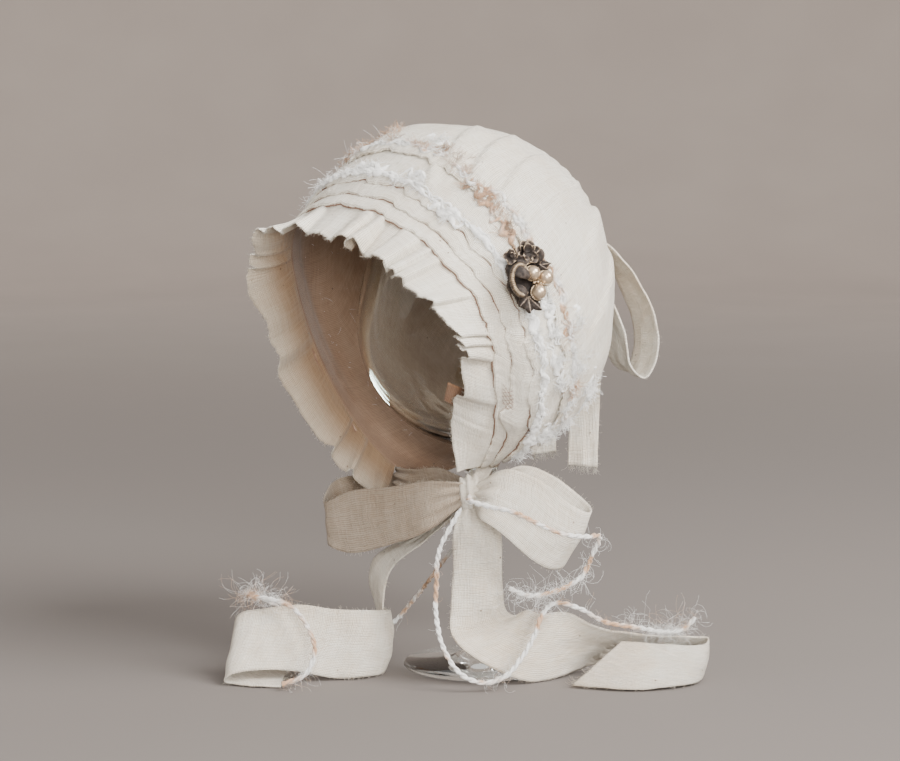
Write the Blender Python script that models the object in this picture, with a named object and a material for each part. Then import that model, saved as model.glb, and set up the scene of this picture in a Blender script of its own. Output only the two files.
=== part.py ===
"""Gathered baby bonnet with a frilled front edge, ribbon ties and a metal flower, on a stemmed glass."""
from math import cos, pi, radians, sin, sqrt

import bmesh
import bpy
from mathutils import Matrix, Vector

MM = 0.001

# sizes in millimetres
CLOTH_WALL = 1.4
FRILL_WALL = 1.1
TIE_WALL = 1.1
GAP = 0.3
LAP_LIFT = 1.9           # how far a lapped front edge stands over the strip it covers
TUCK_LAP = 0.18           # how far a strip runs on under the next one, in section rows
PANEL_LAP = 0.16
WOOL_RADIUS = 1.5
TRIM_REACH = 0.985       # the wool stops just short of the cloth's ends
CORD_RADIUS = 1.3
KNOT_ROOM = 0.42         # clear space between a knot and the ribbons cut round it

FOOT_RADIUS = 33.0
STEM_RADIUS = 3.8
STEM_TOP = 84.0
BOWL_RADIUS = 52.5
BOWL_CENTRE = 147.0
RIM_RADIUS = 35.4
RIM_HEIGHT = 206.0
GLASS_WALL = 1.6

FRILL_PLEATS = 19
FRILL_WAVE = 2.6
FRILL_CLEAR = 0.15
FRILL_TUCKED = 0.17      # how far the frill runs on behind its seam, in section rows
CROWN_GATHERS = 13
GATHER_FOLD = 1.5
AROUND = 40              # facets from chin to chin

# The bonnet lies in its own axes: y runs from the face to the nape and z to the top of the head.
# It is then tipped forward, leaned to one side and set over the glass.
TIP_FORWARD = 25.0
LEAN = 15.0
TURN = -3.0
BONNET_SEAT = (-6.0, -5.0, 166.0)

# section, y, z, half width, rise, drop, end angle on the left, end angle on the right
SECTIONS = [
    ("frill_root", -49, 10, 58, 42, 90, 133, 170),
    ("frill_seam", -43, 9, 59, 44, 89, 134, 169),
    ("first_tuck", -36.5, 5, 62, 50, 83, 138, 165),
    ("second_tuck", -30, 1, 66, 57, 77, 140, 169),
    ("wool_row", -12, -4, 68, 69, 74, 134, 169),
    ("middle", 12, -5, 66, 69, 70, 124, 164),
    ("back", 37, -6, 50, 56, 61, 124, 148),
    ("turn_in", 52, -7, 31, 39, 41, 132, 140),
    ("gather", 61, -13, 6, 6, 6, 155, 155),
]
SEAM, TUCK_1, TUCK_2, CROWN_SEAM, GATHER = 1.0, 2.0, 3.0, 3.76, 8.0
FRONT_WOOL, BACK_WOOL = 3.42, 3.97
EDGE_SET, LAP_FLAT, LAP_END = 0.08, 0.24, 0.62
CROWN_DROPS = (3.15, 2.65, 2.15, 1.7, 1.25, 0.85, 0.4, 0.0)     # section rows before the gather

# place along the frill from right chin to left chin, length of the frill, outward flare in degrees
FRILL = [
    (-1.00, 15, 8),
    (-0.80, 17, 26),
    (-0.45, 18, 27),
    (-0.12, 18, 2),
    (0.30, 19, -3),
    (0.62, 19, 12),
    (0.78, 18, -6),
    (0.88, 17, -31),
    (1.00, 17, -41),
]

# The ties and the loose wool lie in axes turned by this angle about the stem.
LAY_TURN = radians(38)

# ribbon rows: one edge x, y, z, other edge x, y, z, belly of the middle
STRAP_RIGHT = [
    (-37, 22.5, 82, -38, 17.5, 72, 0),
    (-28, 4, 84, -29, 3, 69, 1),
    (-18, -12, 87, -18, -11, 74, 1),
    (-7, -27, 85, -7, -27, 77, 0),
]
STRAP_LEFT = [
    (0, -22, 95, 7, -16, 95, 0),
    (-1, -24, 90, 6, -19, 90, 0),
    (-3, -27, 85, 3, -23, 85, 0),
    (-5, -30, 79, 0, -28, 79, 0),
]
LOOP_LEFT = [
    (-2, -34, 84, -3, -34, 75, 0),
    (10, -43, 91, 0, -46, 71, 1),
    (24, -45, 87, 8, -49, 66, 1),
    (35, -44, 78, 19, -48, 56, 0),
    (43, -40, 73, 28, -44, 50, -1),
    (46, -34, 73, 34, -37, 50, -1),
    (41, -28, 78, 29, -30, 56, 0),
    (30, -26, 86, 17, -28, 65, 0),
    (17, -26, 90, 6, -28, 72, 0),
    (1, -29, 84, 0, -29, 76, 0),
]
LOOP_RIGHT = [
    (-7, -34, 84, -7, -34, 75, 0),
    (-21, -29, 84, -22, -30, 63, 1),
    (-38, -13, 79, -37, -15, 55, 1),
    (-55, 3, 75, -55, 2, 48, 0),
    (-68, 16, 68, -66, 14, 50, 0),
    (-63, 30, 76, -60, 28, 54, 0),
    (-43, 32, 78, -40, 30, 57, 0),
    (-24, 13, 79, -22, 13, 62, 0),
    (-9, -12, 80, -9, -12, 70, 0),
    (-5, -27, 79, -5, -27, 72, 0),
]
TAIL_LEFT = [
    (-7, -33, 76, 0, -33, 76, 0),
    (-11, -36, 64, 8, -34, 64, 3),
    (-11, -37, 49, 9, -34, 48, 3),
    (-12, -40, 34, 10, -34, 33, 2),
    (-11, -44, 21, 14, -32, 28, -2),
    (2, -43, 10, 20, -30, 30, -2),
    (20, -36, 1, 25, -28, 28, 0),
    (34, -26, 1, 37, -26, 28, 0),
    (48, -13, 3, 49, -27, 22, 0),
    (63, -8, 3, 64, -25, 19, 0),
    (80, -7, 3, 82, -22, 17, 0),
    (93, -15, 1, 95, -22, 17, -1),
    (90, -36, 1, 93, -28, 15, -1),
    (76, -46, 1, 80, -29, 15, 0),
    (60, -49, 1, 69, -31, 16, 0),
    (38, -43, 1, 59, -31, 17, 0),
]
TAIL_RIGHT = [
    (-6, -30, 73, -7, -27, 72, 0),
    (-22, -20, 58, -26, -9, 59, 0),
    (-38, -4, 42, -45, 6, 46, 0),
    (-42, -4, 24, -48, 12, 32, 0),
    (-41, -6, 9, -42, 13, 22, -1),
    (-40, -17, 1, -39, -2, 24, -2),
    (-48, -28, 1, -46, -22, 28, -1),
    (-61, -31, 1, -61, -25, 29, 0),
    (-76, -36, 5, -75, -26, 31, 0),
    (-91, -42, 7, -90, -29, 30, 0),
    (-103, -43, 5, -101, -28, 27, 0),
    (-105, -40, 1, -103, -20, 14, 0),
    (-94, -44, 1, -92, -17, 4, 0),
    (-82, -45, 1, -82, -17, 2, 0),
]

# loose wool: x, y, z along each strand
WOOL_LOOP = [
    (-4.5, -37.6, 79),
    (-4, -45, 78),
    (4, -50, 76.5),
    (13, -53, 75),
    (22, -54, 71),
    (33, -52, 66),
    (43, -48, 64),
    (49, -42, 63),
    (46, -38, 54),
    (42, -39, 46),
    (35, -40, 41.5),
    (28, -40, 39),
    (20, -40, 38),
    (12, -40, 41),
]
WOOL_LEFT = [
    (-8, -36.3, 73.5),
    (-12, -39.5, 67),
    (-17, -39.5, 56),
    (-18, -39, 43),
    (-18, -44, 30),
    (-15, -49, 18),
    (-8, -52, 8),
    (1, -51, 4),
    (10, -49, 6),
    (17, -45, 13),
    (22, -42, 21),
    (26, -37, 30),
    (32, -30, 33),
    (42, -28, 30),
    (52, -30, 25),
    (65, -29, 22.5),
    (76, -28, 20.5),
    (85, -26, 21),
    (90, -25, 26),
]
WOOL_RIGHT = [
    (-1.5, -25.5, 72.5),
    (-9, -11, 56),
    (-19, 4, 40),
    (-29, 15, 25),
    (-40, 23, 12),
    (-54, 20, 7),
    (-68, 6, 12),
    (-83, -10, 25),
    (-95, -19, 34),
    (-97, -28, 35),
    (-88, -33, 35),
    (-78, -36, 32),
    (-71, -40, 24),
    (-68, -44, 15),
    (-72, -47, 6),
    (-81, -50, 3),
]

# the chin knot in the turned axes, and the nape knot in the bonnet's own
TIE_KNOT = (-4, -31, 79)
TIE_KNOT_SIZES = (6.5, 6.0, 10.0)
NAPE_KNOT = (0, 68.4, -16)

# bow at the nape, rows counted from its knot
NAPE_KNOT_SIZES = (6.5, 6.0, 7.0)
NAPE_LOOP_LEFT = [
    (3, -4, 4, 1, 4, 4, 0),
    (17, -10, -2, 11, 8, -1, 0),
    (29, -13, -16, 20, 6, -15, 0),
    (37, -15, -33, 27, 4, -32, 0),
    (38, -15, -48, 29, 4, -47, 0),
    (33, -15, -59, 25, 4, -57, 0),
    (26, -15, -54, 18, 4, -52, 0),
    (23, -15, -39, 15, 4, -38, 0),
    (15, -12, -20, 9, 5, -19, 0),
    (3, -3, -2, 2, 3, -2, 0),
]
NAPE_LOOP_RIGHT = [
    (-3, -1, 4, -1, 5, 4, 0),
    (-13, 12, 2, -13, 24, 0, 0),
    (-26, 24, -8, -28, 38, -11, 0),
    (-37, 31, -24, -40, 45, -28, 0),
    (-42, 33, -38, -45, 47, -43, 0),
    (-37, 31, -47, -40, 45, -51, 0),
    (-28, 27, -38, -31, 41, -42, 0),
    (-19, 20, -23, -21, 34, -26, 0),
    (-3, 1, -2, -2, 6, -2, 0),
]
NAPE_TAIL_LEFT = [
    (0, 3, -3, 2, 4, -3, 0),
    (1, 9, -14, 6, 10, -14, 0),
    (1, 12, -32, 13, 11, -32, 1),
    (1, 8, -54, 14, 6, -54, 1),
    (0, 1, -78, 13, -2, -78, 1),
    (-1, -6, -99, 12, -9, -100, 0),
]
NAPE_TAIL_RIGHT = [
    (-2.5, 5, -4, -1, 6, -4, 0),
    (-7, 16, -15, -1, 17, -15, 0),
    (-16, 19, -32, -4, 21, -31, 1),
    (-18, 18, -56, -5, 19, -55, 1),
    (-18, 11, -80, -6, 9, -79, 1),
    (-17, 4, -96, -6, 2, -94, 0),
]

# brooch: place on the bonnet, plate (half width, half height, thickness),
# and the pieces on it (right, up, radius)
BROOCH_ROW = 3.42
BROOCH_PLACE = 0.42
BROOCH_PLATE = (9.0, 13.0, 1.4)
ROSE = (0.2, 9.8, 5.1)
BUD = (-7.6, 8.4, 2.0)
PETAL = (-6.2, -2.2, 4.2)
PETAL_TALL = 6.4
LEAF_LOW = (-1.0, -14.6, 4.2)
LEAF_SIDE = (8.4, 5.6, 2.4)
PEARLS = [
    ("pearl_top", 1.4, 1.2, 2.9),
    ("pearl_side", 7.0, -0.8, 2.9),
    ("pearl_low", 3.2, -6.4, 2.9),
]


def clearScene():
    for item in list(bpy.data.objects):
        bpy.data.objects.remove(item, do_unlink=True)


def makeMaterial(name, colour, roughness, metallic=0.0, transmission=0.0):
    material = bpy.data.materials.new(name)
    material.use_nodes = True
    shader = material.node_tree.nodes["Principled BSDF"]
    shader.inputs["Base Color"].default_value = (*colour, 1.0)
    shader.inputs["Roughness"].default_value = roughness
    shader.inputs["Metallic"].default_value = metallic
    shader.inputs["Transmission Weight"].default_value = transmission
    return material


def addObject(name, data, material):
    item = bpy.data.objects.new(name, data)
    bpy.context.scene.collection.objects.link(item)
    item.data.materials.append(material)
    return item


def smoothStep(low, high, value):
    ratio = min(max((value - low) / (high - low), 0.0), 1.0)
    return ratio * ratio * (3.0 - 2.0 * ratio)


def blend(rows, place):
    """Smooth curve through the rows, place counted in rows."""
    last = len(rows) - 1
    place = min(max(place, 0.0), last - 1e-6)
    index = int(place)
    part = place - index
    now, after = rows[index], rows[index + 1]
    before = rows[index - 1] if index else [2 * a - b for a, b in zip(now, after)]
    beyond = rows[index + 2] if index + 2 <= last else [2 * b - a for a, b in zip(now, after)]
    result = []
    for a, b, c, d in zip(before, now, after, beyond):
        slope = (c - a) * part
        curve = (2 * a - 5 * b + 4 * c - d) * part ** 2
        cube = (3 * b - a - 3 * c + d) * part ** 3
        result.append(0.5 * (2 * b + slope + curve + cube))
    return result


def lay(x, y, z):
    """Millimetres in the turned axes of the ties, to metres in the part's frame."""
    across = x * cos(LAY_TURN) - y * sin(LAY_TURN)
    along = x * sin(LAY_TURN) + y * cos(LAY_TURN)
    return Vector((across, along, z)) * MM


def toLay(point):
    """Metres in the part's frame, to millimetres in the turned axes of the ties."""
    across = point.x * cos(LAY_TURN) + point.y * sin(LAY_TURN)
    along = point.y * cos(LAY_TURN) - point.x * sin(LAY_TURN)
    return Vector((across, along, point.z)) / MM


def bonnetPose():
    tip = Matrix.Rotation(radians(TIP_FORWARD), 4, "X")
    lean = Matrix.Rotation(radians(LEAN), 4, "Y")
    turn = Matrix.Rotation(radians(TURN), 4, "Z")
    return Matrix.Translation(Vector(BONNET_SEAT)) @ turn @ lean @ tip


POSE = bonnetPose()
SECTION_ROWS = [row[1:] for row in SECTIONS]


def bonnetPoint(row, place):
    """Point on the inner face of the bonnet. place runs from -1 at the right chin to 1 at the left."""
    y, z, width, rise, drop, left, right = blend(SECTION_ROWS, row)
    angle = radians(left if place >= 0 else right) * place
    height = rise if cos(angle) > 0 else drop
    return POSE @ Vector((width * sin(angle), y, z + height * cos(angle)))


def bonnetNormal(row, place):
    step = 0.02
    low, high = max(row - step, 0.0), min(row + step, GATHER)
    along = bonnetPoint(high, place) - bonnetPoint(low, place)
    around = bonnetPoint(row, min(place + step, 1.0)) - bonnetPoint(row, max(place - step, -1.0))
    return along.cross(around).normalized() * -1.0


def closedShell(outer, inner, name, material):
    """Solid between two grids of points of the same size."""
    mesh = bmesh.new()
    rows, columns = len(outer), len(outer[0])
    top = [[mesh.verts.new(point * MM) for point in line] for line in outer]
    low = [[mesh.verts.new(point * MM) for point in line] for line in inner]
    for i in range(rows - 1):
        for j in range(columns - 1):
            mesh.faces.new((top[i][j], top[i][j + 1], top[i + 1][j + 1], top[i + 1][j]))
            mesh.faces.new((low[i][j], low[i + 1][j], low[i + 1][j + 1], low[i][j + 1]))
    for i in range(rows - 1):
        mesh.faces.new((top[i][0], top[i + 1][0], low[i + 1][0], low[i][0]))
        mesh.faces.new((top[i][-1], low[i][-1], low[i + 1][-1], top[i + 1][-1]))
    for j in range(columns - 1):
        mesh.faces.new((top[0][j], low[0][j], low[0][j + 1], top[0][j + 1]))
        mesh.faces.new((top[-1][j], top[-1][j + 1], low[-1][j + 1], low[-1][j]))
    bmesh.ops.recalc_face_normals(mesh, faces=mesh.faces)
    data = bpy.data.meshes.new(name)
    mesh.to_mesh(data)
    mesh.free()
    data.shade_smooth()
    data.set_sharp_from_angle(angle=radians(50))
    return addObject(name, data, material)


def bonnetStrip(name, rows, wall, liftAt, material):
    """Strip of the bonnet through the section rows, as a wall of cloth."""
    outer, inner = [], []
    for row in rows:
        outerLine, innerLine = [], []
        for j in range(AROUND + 1):
            place = -1.0 + 2.0 * j / AROUND
            point = bonnetPoint(row, place)
            normal = bonnetNormal(row, place)
            lift = liftAt(row, place)
            innerLine.append(point + normal * lift)
            outerLine.append(point + normal * (lift + wall))
        outer.append(outerLine)
        inner.append(innerLine)
    return closedShell(outer, inner, name, material)


def lapLift(start):
    """A front edge that stands over the strip before it and settles onto the base surface."""
    return lambda row, place: LAP_LIFT * (1.0 - smoothStep(start + LAP_FLAT, start + LAP_END, row))


def crownLift(row, place):
    gather = smoothStep(5.2, 7.6, row)
    tight = 1.0 - 0.6 * smoothStep(7.2, GATHER, row)
    fold = GATHER_FOLD * gather * tight * (0.5 + 0.5 * cos(2 * pi * CROWN_GATHERS * place))
    return lapLift(CROWN_SEAM)(row, place) + fold


def frillAt(place):
    rows = [row[1:] for row in FRILL]
    for index in range(len(FRILL) - 1):
        low, high = FRILL[index][0], FRILL[index + 1][0]
        if place <= high:
            return blend(rows, index + (place - low) / (high - low))
    return rows[-1]


def frillPoint(place, out):
    """Point on the frill's inner face, out being 0 at the seam and 1 at the free edge."""
    length, flare = frillAt(place)
    root = bonnetPoint(SEAM, place)
    normal = bonnetNormal(SEAM, place)
    forward = (bonnetPoint(SEAM - 0.3, place) - bonnetPoint(SEAM + 0.3, place)).normalized()
    flare = radians(flare) * out
    centre = root + forward * (length * out * cos(flare * 0.5)) + normal * (length * out * sin(flare))
    flat = 1.0 - smoothStep(0.80, 0.86, place)
    wave = FRILL_WAVE * out * flat * sin(pi * FRILL_PLEATS * (place + 1.0))
    return centre + normal * (wave + FRILL_CLEAR), normal


def makeFrill(material):
    columns = FRILL_PLEATS * 4
    outer, inner = [], []
    for out in (-FRILL_TUCKED, 0.0, 0.45, 1.0):
        outerLine, innerLine = [], []
        for j in range(columns + 1):
            place = -1.0 + 2.0 * j / columns
            if out < 0.0:
                normal = bonnetNormal(SEAM + FRILL_TUCKED, place)
                point = bonnetPoint(SEAM + FRILL_TUCKED, place) + normal * FRILL_CLEAR
            else:
                point, normal = frillPoint(place, out)
            innerLine.append(point)
            outerLine.append(point + normal * FRILL_WALL)
        outer.append(outerLine)
        inner.append(innerLine)
    return closedShell(outer, inner, "frill", material)


def ribbon(name, rows, rings, wall, material, start=(0, 0, 0)):
    """Ribbon of cloth through rows that hold its two edges and a belly, counted from start."""
    shift = Vector(start)
    centres, widths, bellies = [], [], []
    for k in range(rings + 1):
        x0, y0, z0, x1, y1, z1, belly = blend(rows, (len(rows) - 1) * k / rings)
        first = lay(*(Vector((x0, y0, z0)) + shift)) / MM
        second = lay(*(Vector((x1, y1, z1)) + shift)) / MM
        centres.append((first + second) / 2)
        widths.append(second - first)
        bellies.append(belly)
    outer, inner = [], []
    for k in range(rings + 1):
        tangent = centres[min(k + 1, rings)] - centres[max(k - 1, 0)]
        normal = tangent.cross(widths[k]).normalized()
        middle = centres[k] + normal * bellies[k]
        line = (centres[k] - widths[k] / 2, middle, centres[k] + widths[k] / 2)
        outer.append([point + normal * wall / 2 for point in line])
        inner.append([point - normal * wall / 2 for point in line])
    return closedShell(outer, inner, name, material)


def tube(name, points, radius, bevelResolution, material):
    """Round tube along a smooth run of points in metres."""
    curve = bpy.data.curves.new(name, "CURVE")
    curve.dimensions = "3D"
    curve.bevel_depth = radius * MM
    curve.bevel_resolution = bevelResolution
    curve.render_resolution_u = 0
    curve.use_fill_caps = True
    spline = curve.splines.new("POLY")
    spline.points.add(len(points) - 1)
    for slot, point in zip(spline.points, points):
        slot.co = (*point, 1.0)
    return addObject(name, curve, material)


def strand(name, rows, count, material):
    points = [lay(*blend(rows, (len(rows) - 1) * k / (count - 1))) for k in range(count)]
    return tube(name, points, CORD_RADIUS, 2, material)


def woolTrim(name, row, lift, material):
    """Wool laid on the cloth along one row, lift being how far the cloth stands up there."""
    points = []
    count = AROUND - 4
    height = lift + CLOTH_WALL + WOOL_RADIUS + 1.5 * GAP
    for j in range(count + 1):
        place = (-1.0 + 2.0 * j / count) * TRIM_REACH
        points.append((bonnetPoint(row, place) + bonnetNormal(row, place) * height) * MM)
    return tube(name, points, WOOL_RADIUS, 1, material)


def turned(name, profile, steps, material):
    """Solid turned about the stem from a closed outline of radius and height."""
    mesh = bmesh.new()
    verts = [mesh.verts.new((radius * MM, 0.0, height * MM)) for radius, height in profile]
    edges = [mesh.edges.new((a, b)) for a, b in zip(verts, verts[1:])]
    bmesh.ops.spin(
        mesh,
        geom=verts + edges,
        cent=(0, 0, 0),
        axis=(0, 0, 1),
        angle=2 * pi,
        steps=steps,
        use_merge=True,
    )
    bmesh.ops.remove_doubles(mesh, verts=mesh.verts, dist=1e-6)
    bmesh.ops.recalc_face_normals(mesh, faces=mesh.faces)
    data = bpy.data.meshes.new(name)
    mesh.to_mesh(data)
    mesh.free()
    data.shade_smooth()
    data.set_sharp_from_angle(angle=radians(40))
    return addObject(name, data, material)


def glassProfile():
    """Outline from the middle of the underside, up the outside, over the rim and down the inside."""
    outline = [(0.0, 0.0), (FOOT_RADIUS - 0.6, 0.0), (FOOT_RADIUS, 0.7), (FOOT_RADIUS - 0.8, 1.6)]
    outline += [(18.0, 2.8), (8.0, 6.0), (STEM_RADIUS + 0.8, 13.0), (STEM_RADIUS, 28.0)]
    outline += [(STEM_RADIUS, 62.0), (STEM_RADIUS + 1.2, STEM_TOP - 4.0)]
    low = -76
    for angle in range(low, 1, 19):
        outline.append((BOWL_RADIUS * cos(radians(angle)), BOWL_CENTRE + BOWL_RADIUS * sin(radians(angle))))
    rise = RIM_HEIGHT - BOWL_CENTRE
    for part in (0.3, 0.6, 0.85, 1.0):
        outline.append((BOWL_RADIUS - (BOWL_RADIUS - RIM_RADIUS) * part ** 1.7, BOWL_CENTRE + rise * part))
    inner = BOWL_RADIUS - GLASS_WALL
    for part in (1.0, 0.6, 0.3):
        radius = inner - (inner - RIM_RADIUS + GLASS_WALL) * part ** 1.7
        outline.append((radius, BOWL_CENTRE + rise * part))
    for angle in (0, -19, -38, -57, -74):
        outline.append((inner * cos(radians(angle)), BOWL_CENTRE + (inner - 2.0) * sin(radians(angle))))
    outline.append((0.0, BOWL_CENTRE - inner + 2.0))
    return outline


def ellipsoid(name, centre, sizes, segments, rings, material):
    mesh = bmesh.new()
    bmesh.ops.create_uvsphere(mesh, u_segments=segments, v_segments=rings, radius=1.0)
    for vert in mesh.verts:
        local = Vector((vert.co.x * sizes[0], vert.co.y * sizes[1], vert.co.z * sizes[2]))
        vert.co = lay(*(Vector(centre) + local))
    data = bpy.data.meshes.new(name)
    mesh.to_mesh(data)
    mesh.free()
    data.shade_smooth()
    return addObject(name, data, material)


def knot(name, centre, sizes, material):
    """A tied knot, and a slightly larger guide that trims the ribbons where they enter it."""
    ellipsoid(name, centre, sizes, 12, 7, material)
    room = ellipsoid(name + "_room", centre, [size + KNOT_ROOM for size in sizes], 12, 7, material)
    room.hide_render = True
    room.display_type = "WIRE"
    return room


def cutAway(item, cutter):
    modifier = item.modifiers.new("seat", "BOOLEAN")
    modifier.operation = "DIFFERENCE"
    modifier.solver = "EXACT"
    modifier.object = cutter


def broochFrame():
    """Matrix whose x is to the viewer's right, y up along the bonnet and z away from the cloth."""
    out = bonnetNormal(BROOCH_ROW, BROOCH_PLACE)
    up = Vector((0, 0, 1)) - out * out.z
    up.normalize()
    right = up.cross(out)
    under = lapLift(TUCK_2)(FRONT_WOOL, 0) + CLOTH_WALL + 2 * WOOL_RADIUS + 3 * GAP
    point = bonnetPoint(BROOCH_ROW, BROOCH_PLACE) + out * under
    matrix = Matrix((right, up, out)).transposed().to_4x4()
    matrix.translation = point
    return matrix


def relief(name, frame, centre, base, outlineAt, heightAt, segments, rings, material):
    """Solid piece with a flat back and a modelled face, round its centre on the plate."""
    mesh = bmesh.new()
    place = frame @ Matrix.Translation((centre[0], centre[1], base))
    back, front = [], []
    for k in range(1, rings + 1):
        part = k / rings
        ring = []
        for j in range(segments):
            angle = 2 * pi * j / segments
            reach = outlineAt(angle) * part
            height = heightAt(part, angle)
            ring.append(mesh.verts.new(place @ Vector((reach * cos(angle), reach * sin(angle), height)) * MM))
        front.append(ring)
    for j in range(segments):
        angle = 2 * pi * j / segments
        reach = outlineAt(angle)
        back.append(mesh.verts.new(place @ Vector((reach * cos(angle), reach * sin(angle), 0)) * MM))
    hub = mesh.verts.new(place @ Vector((0, 0, heightAt(0, 0))) * MM)
    hubBack = mesh.verts.new(place @ Vector((0, 0, 0)) * MM)
    for j in range(segments):
        after = (j + 1) % segments
        mesh.faces.new((hub, front[0][j], front[0][after]))
        mesh.faces.new((hubBack, back[after], back[j]))
        mesh.faces.new((front[-1][j], back[j], back[after], front[-1][after]))
        for k in range(rings - 1):
            mesh.faces.new((front[k][j], front[k + 1][j], front[k + 1][after], front[k][after]))
    bmesh.ops.recalc_face_normals(mesh, faces=mesh.faces)
    data = bpy.data.meshes.new(name)
    mesh.to_mesh(data)
    mesh.free()
    data.shade_smooth()
    data.set_sharp_from_angle(angle=radians(45))
    return addObject(name, data, material)


def makeBrooch(metal, pearl):
    frame = broochFrame()
    wide, tall, thick = BROOCH_PLATE

    def plateOutline(angle):
        return wide * tall / sqrt((tall * cos(angle)) ** 2 + (wide * sin(angle)) ** 2)

    relief("brooch_plate", frame, (0, 0), 0.0, plateOutline, lambda part, angle: thick, 20, 1, metal)
    base = thick + GAP

    def roseOutline(angle):
        return ROSE[2] * (1.0 + 0.10 * cos(5 * angle))

    def roseHeight(part, angle):
        dome = 4.4 - 2.2 * part ** 2
        return dome + 0.6 * part * cos(5 * angle + 5.0 * part)

    relief("brooch_rose", frame, ROSE, base, roseOutline, roseHeight, 20, 3, metal)

    def budHeight(part, angle):
        return 3.4 - 1.6 * part ** 2 + 0.3 * part * cos(3 * angle)

    relief("brooch_bud", frame, BUD, base, lambda angle: BUD[2], budHeight, 10, 2, metal)

    def petalOutline(angle):
        wide, tall = PETAL[2], PETAL_TALL
        return wide * tall / sqrt((tall * cos(angle)) ** 2 + (wide * sin(angle)) ** 2)

    def petalHeight(part, angle):
        return 1.6 + 3.2 * part ** 2 + 0.35 * part * cos(12 * angle)

    relief("brooch_petal", frame, PETAL, base, petalOutline, petalHeight, 24, 2, metal)

    def leafOutline(angle):
        return LEAF_LOW[2] * (1.0 + 0.20 * cos(7 * angle))

    def leafHeight(part, angle):
        return 1.8 - 0.6 * part + 0.5 * cos(2 * angle) * part

    relief("brooch_leaf_low", frame, LEAF_LOW, base, leafOutline, leafHeight, 28, 2, metal)

    def sideOutline(angle):
        return LEAF_SIDE[2] * (1.0 + 0.15 * cos(5 * angle))

    relief("brooch_leaf_side", frame, LEAF_SIDE, base, sideOutline, budHeight, 15, 2, metal)

    for name, right, up, radius in PEARLS:
        mesh = bmesh.new()
        bmesh.ops.create_uvsphere(mesh, u_segments=10, v_segments=7, radius=radius * MM)
        point = frame @ Vector((right, up, base + radius))
        bmesh.ops.translate(mesh, verts=mesh.verts, vec=point * MM)
        data = bpy.data.meshes.new(name)
        mesh.to_mesh(data)
        mesh.free()
        data.shade_smooth()
        addObject(name, data, pearl)


def build():
    clearScene()
    cloth = makeMaterial("cream cloth", (0.78, 0.74, 0.66), 0.9)
    wool = makeMaterial("white wool", (0.88, 0.86, 0.83), 0.95)
    peach = makeMaterial("peach wool", (0.80, 0.55, 0.42), 0.95)
    metal = makeMaterial("aged bronze", (0.20, 0.15, 0.10), 0.45, metallic=1.0)
    pearl = makeMaterial("champagne pearl", (0.72, 0.62, 0.50), 0.2)
    glass = makeMaterial("clear glass", (0.95, 0.97, 0.96), 0.02, transmission=1.0)

    turned("glass_stand", glassProfile(), 24, glass)

    makeFrill(cloth)
    for name, start, after, lap in (
        ("tuck_front", SEAM, TUCK_1, TUCK_LAP),
        ("tuck_back", TUCK_1, TUCK_2, TUCK_LAP),
        ("front_panel", TUCK_2, CROWN_SEAM, PANEL_LAP),
    ):
        rows = (start + EDGE_SET, start + LAP_FLAT, after, after + lap)
        bonnetStrip(name, rows, CLOTH_WALL, lapLift(start), cloth)
    crownRows = [CROWN_SEAM + EDGE_SET, CROWN_SEAM + LAP_FLAT, CROWN_SEAM + LAP_END]
    crownRows += [GATHER - drop for drop in CROWN_DROPS]
    bonnetStrip("crown", crownRows, CLOTH_WALL, crownLift, cloth)
    woolTrim("wool_trim_front", FRONT_WOOL, lapLift(TUCK_2)(FRONT_WOOL, 0), wool)
    woolTrim("wool_trim_back", BACK_WOOL, lapLift(CROWN_SEAM)(BACK_WOOL, 0), peach)

    makeBrooch(metal, pearl)

    tieKnot = Vector(TIE_KNOT)
    napeKnot = toLay(POSE @ Vector(NAPE_KNOT) * MM)
    tieRoom = knot("tie_knot", tieKnot, TIE_KNOT_SIZES, cloth)
    napeRoom = knot("nape_knot", napeKnot, NAPE_KNOT_SIZES, cloth)

    for name, rows, rings, room, start in (
        ("tie_strap_right", STRAP_RIGHT, 8, tieRoom, (0, 0, 0)),
        ("tie_strap_left", STRAP_LEFT, 4, tieRoom, (0, 0, 0)),
        ("tie_loop_left", LOOP_LEFT, 22, tieRoom, (0, 0, 0)),
        ("tie_loop_right", LOOP_RIGHT, 20, tieRoom, (0, 0, 0)),
        ("tie_tail_left", TAIL_LEFT, 32, tieRoom, (0, 0, 0)),
        ("tie_tail_right", TAIL_RIGHT, 27, tieRoom, (0, 0, 0)),
        ("nape_loop_left", NAPE_LOOP_LEFT, 18, napeRoom, napeKnot),
        ("nape_loop_right", NAPE_LOOP_RIGHT, 16, napeRoom, napeKnot),
        ("nape_tail_left", NAPE_TAIL_LEFT, 8, napeRoom, napeKnot),
        ("nape_tail_right", NAPE_TAIL_RIGHT, 8, napeRoom, napeKnot),
    ):
        cutAway(ribbon(name, rows, rings, TIE_WALL, cloth, start), room)

    strand("wool_end_loop", WOOL_LOOP, 18, wool)
    strand("wool_end_left", WOOL_LEFT, 28, wool)
    strand("wool_end_right", WOOL_RIGHT, 28, wool)


build()
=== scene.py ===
from math import cos, exp, floor, pi, radians, sin, sqrt
from random import Random

import bmesh
import bpy
from mathutils import Matrix, noise, Quaternion, Vector


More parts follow.
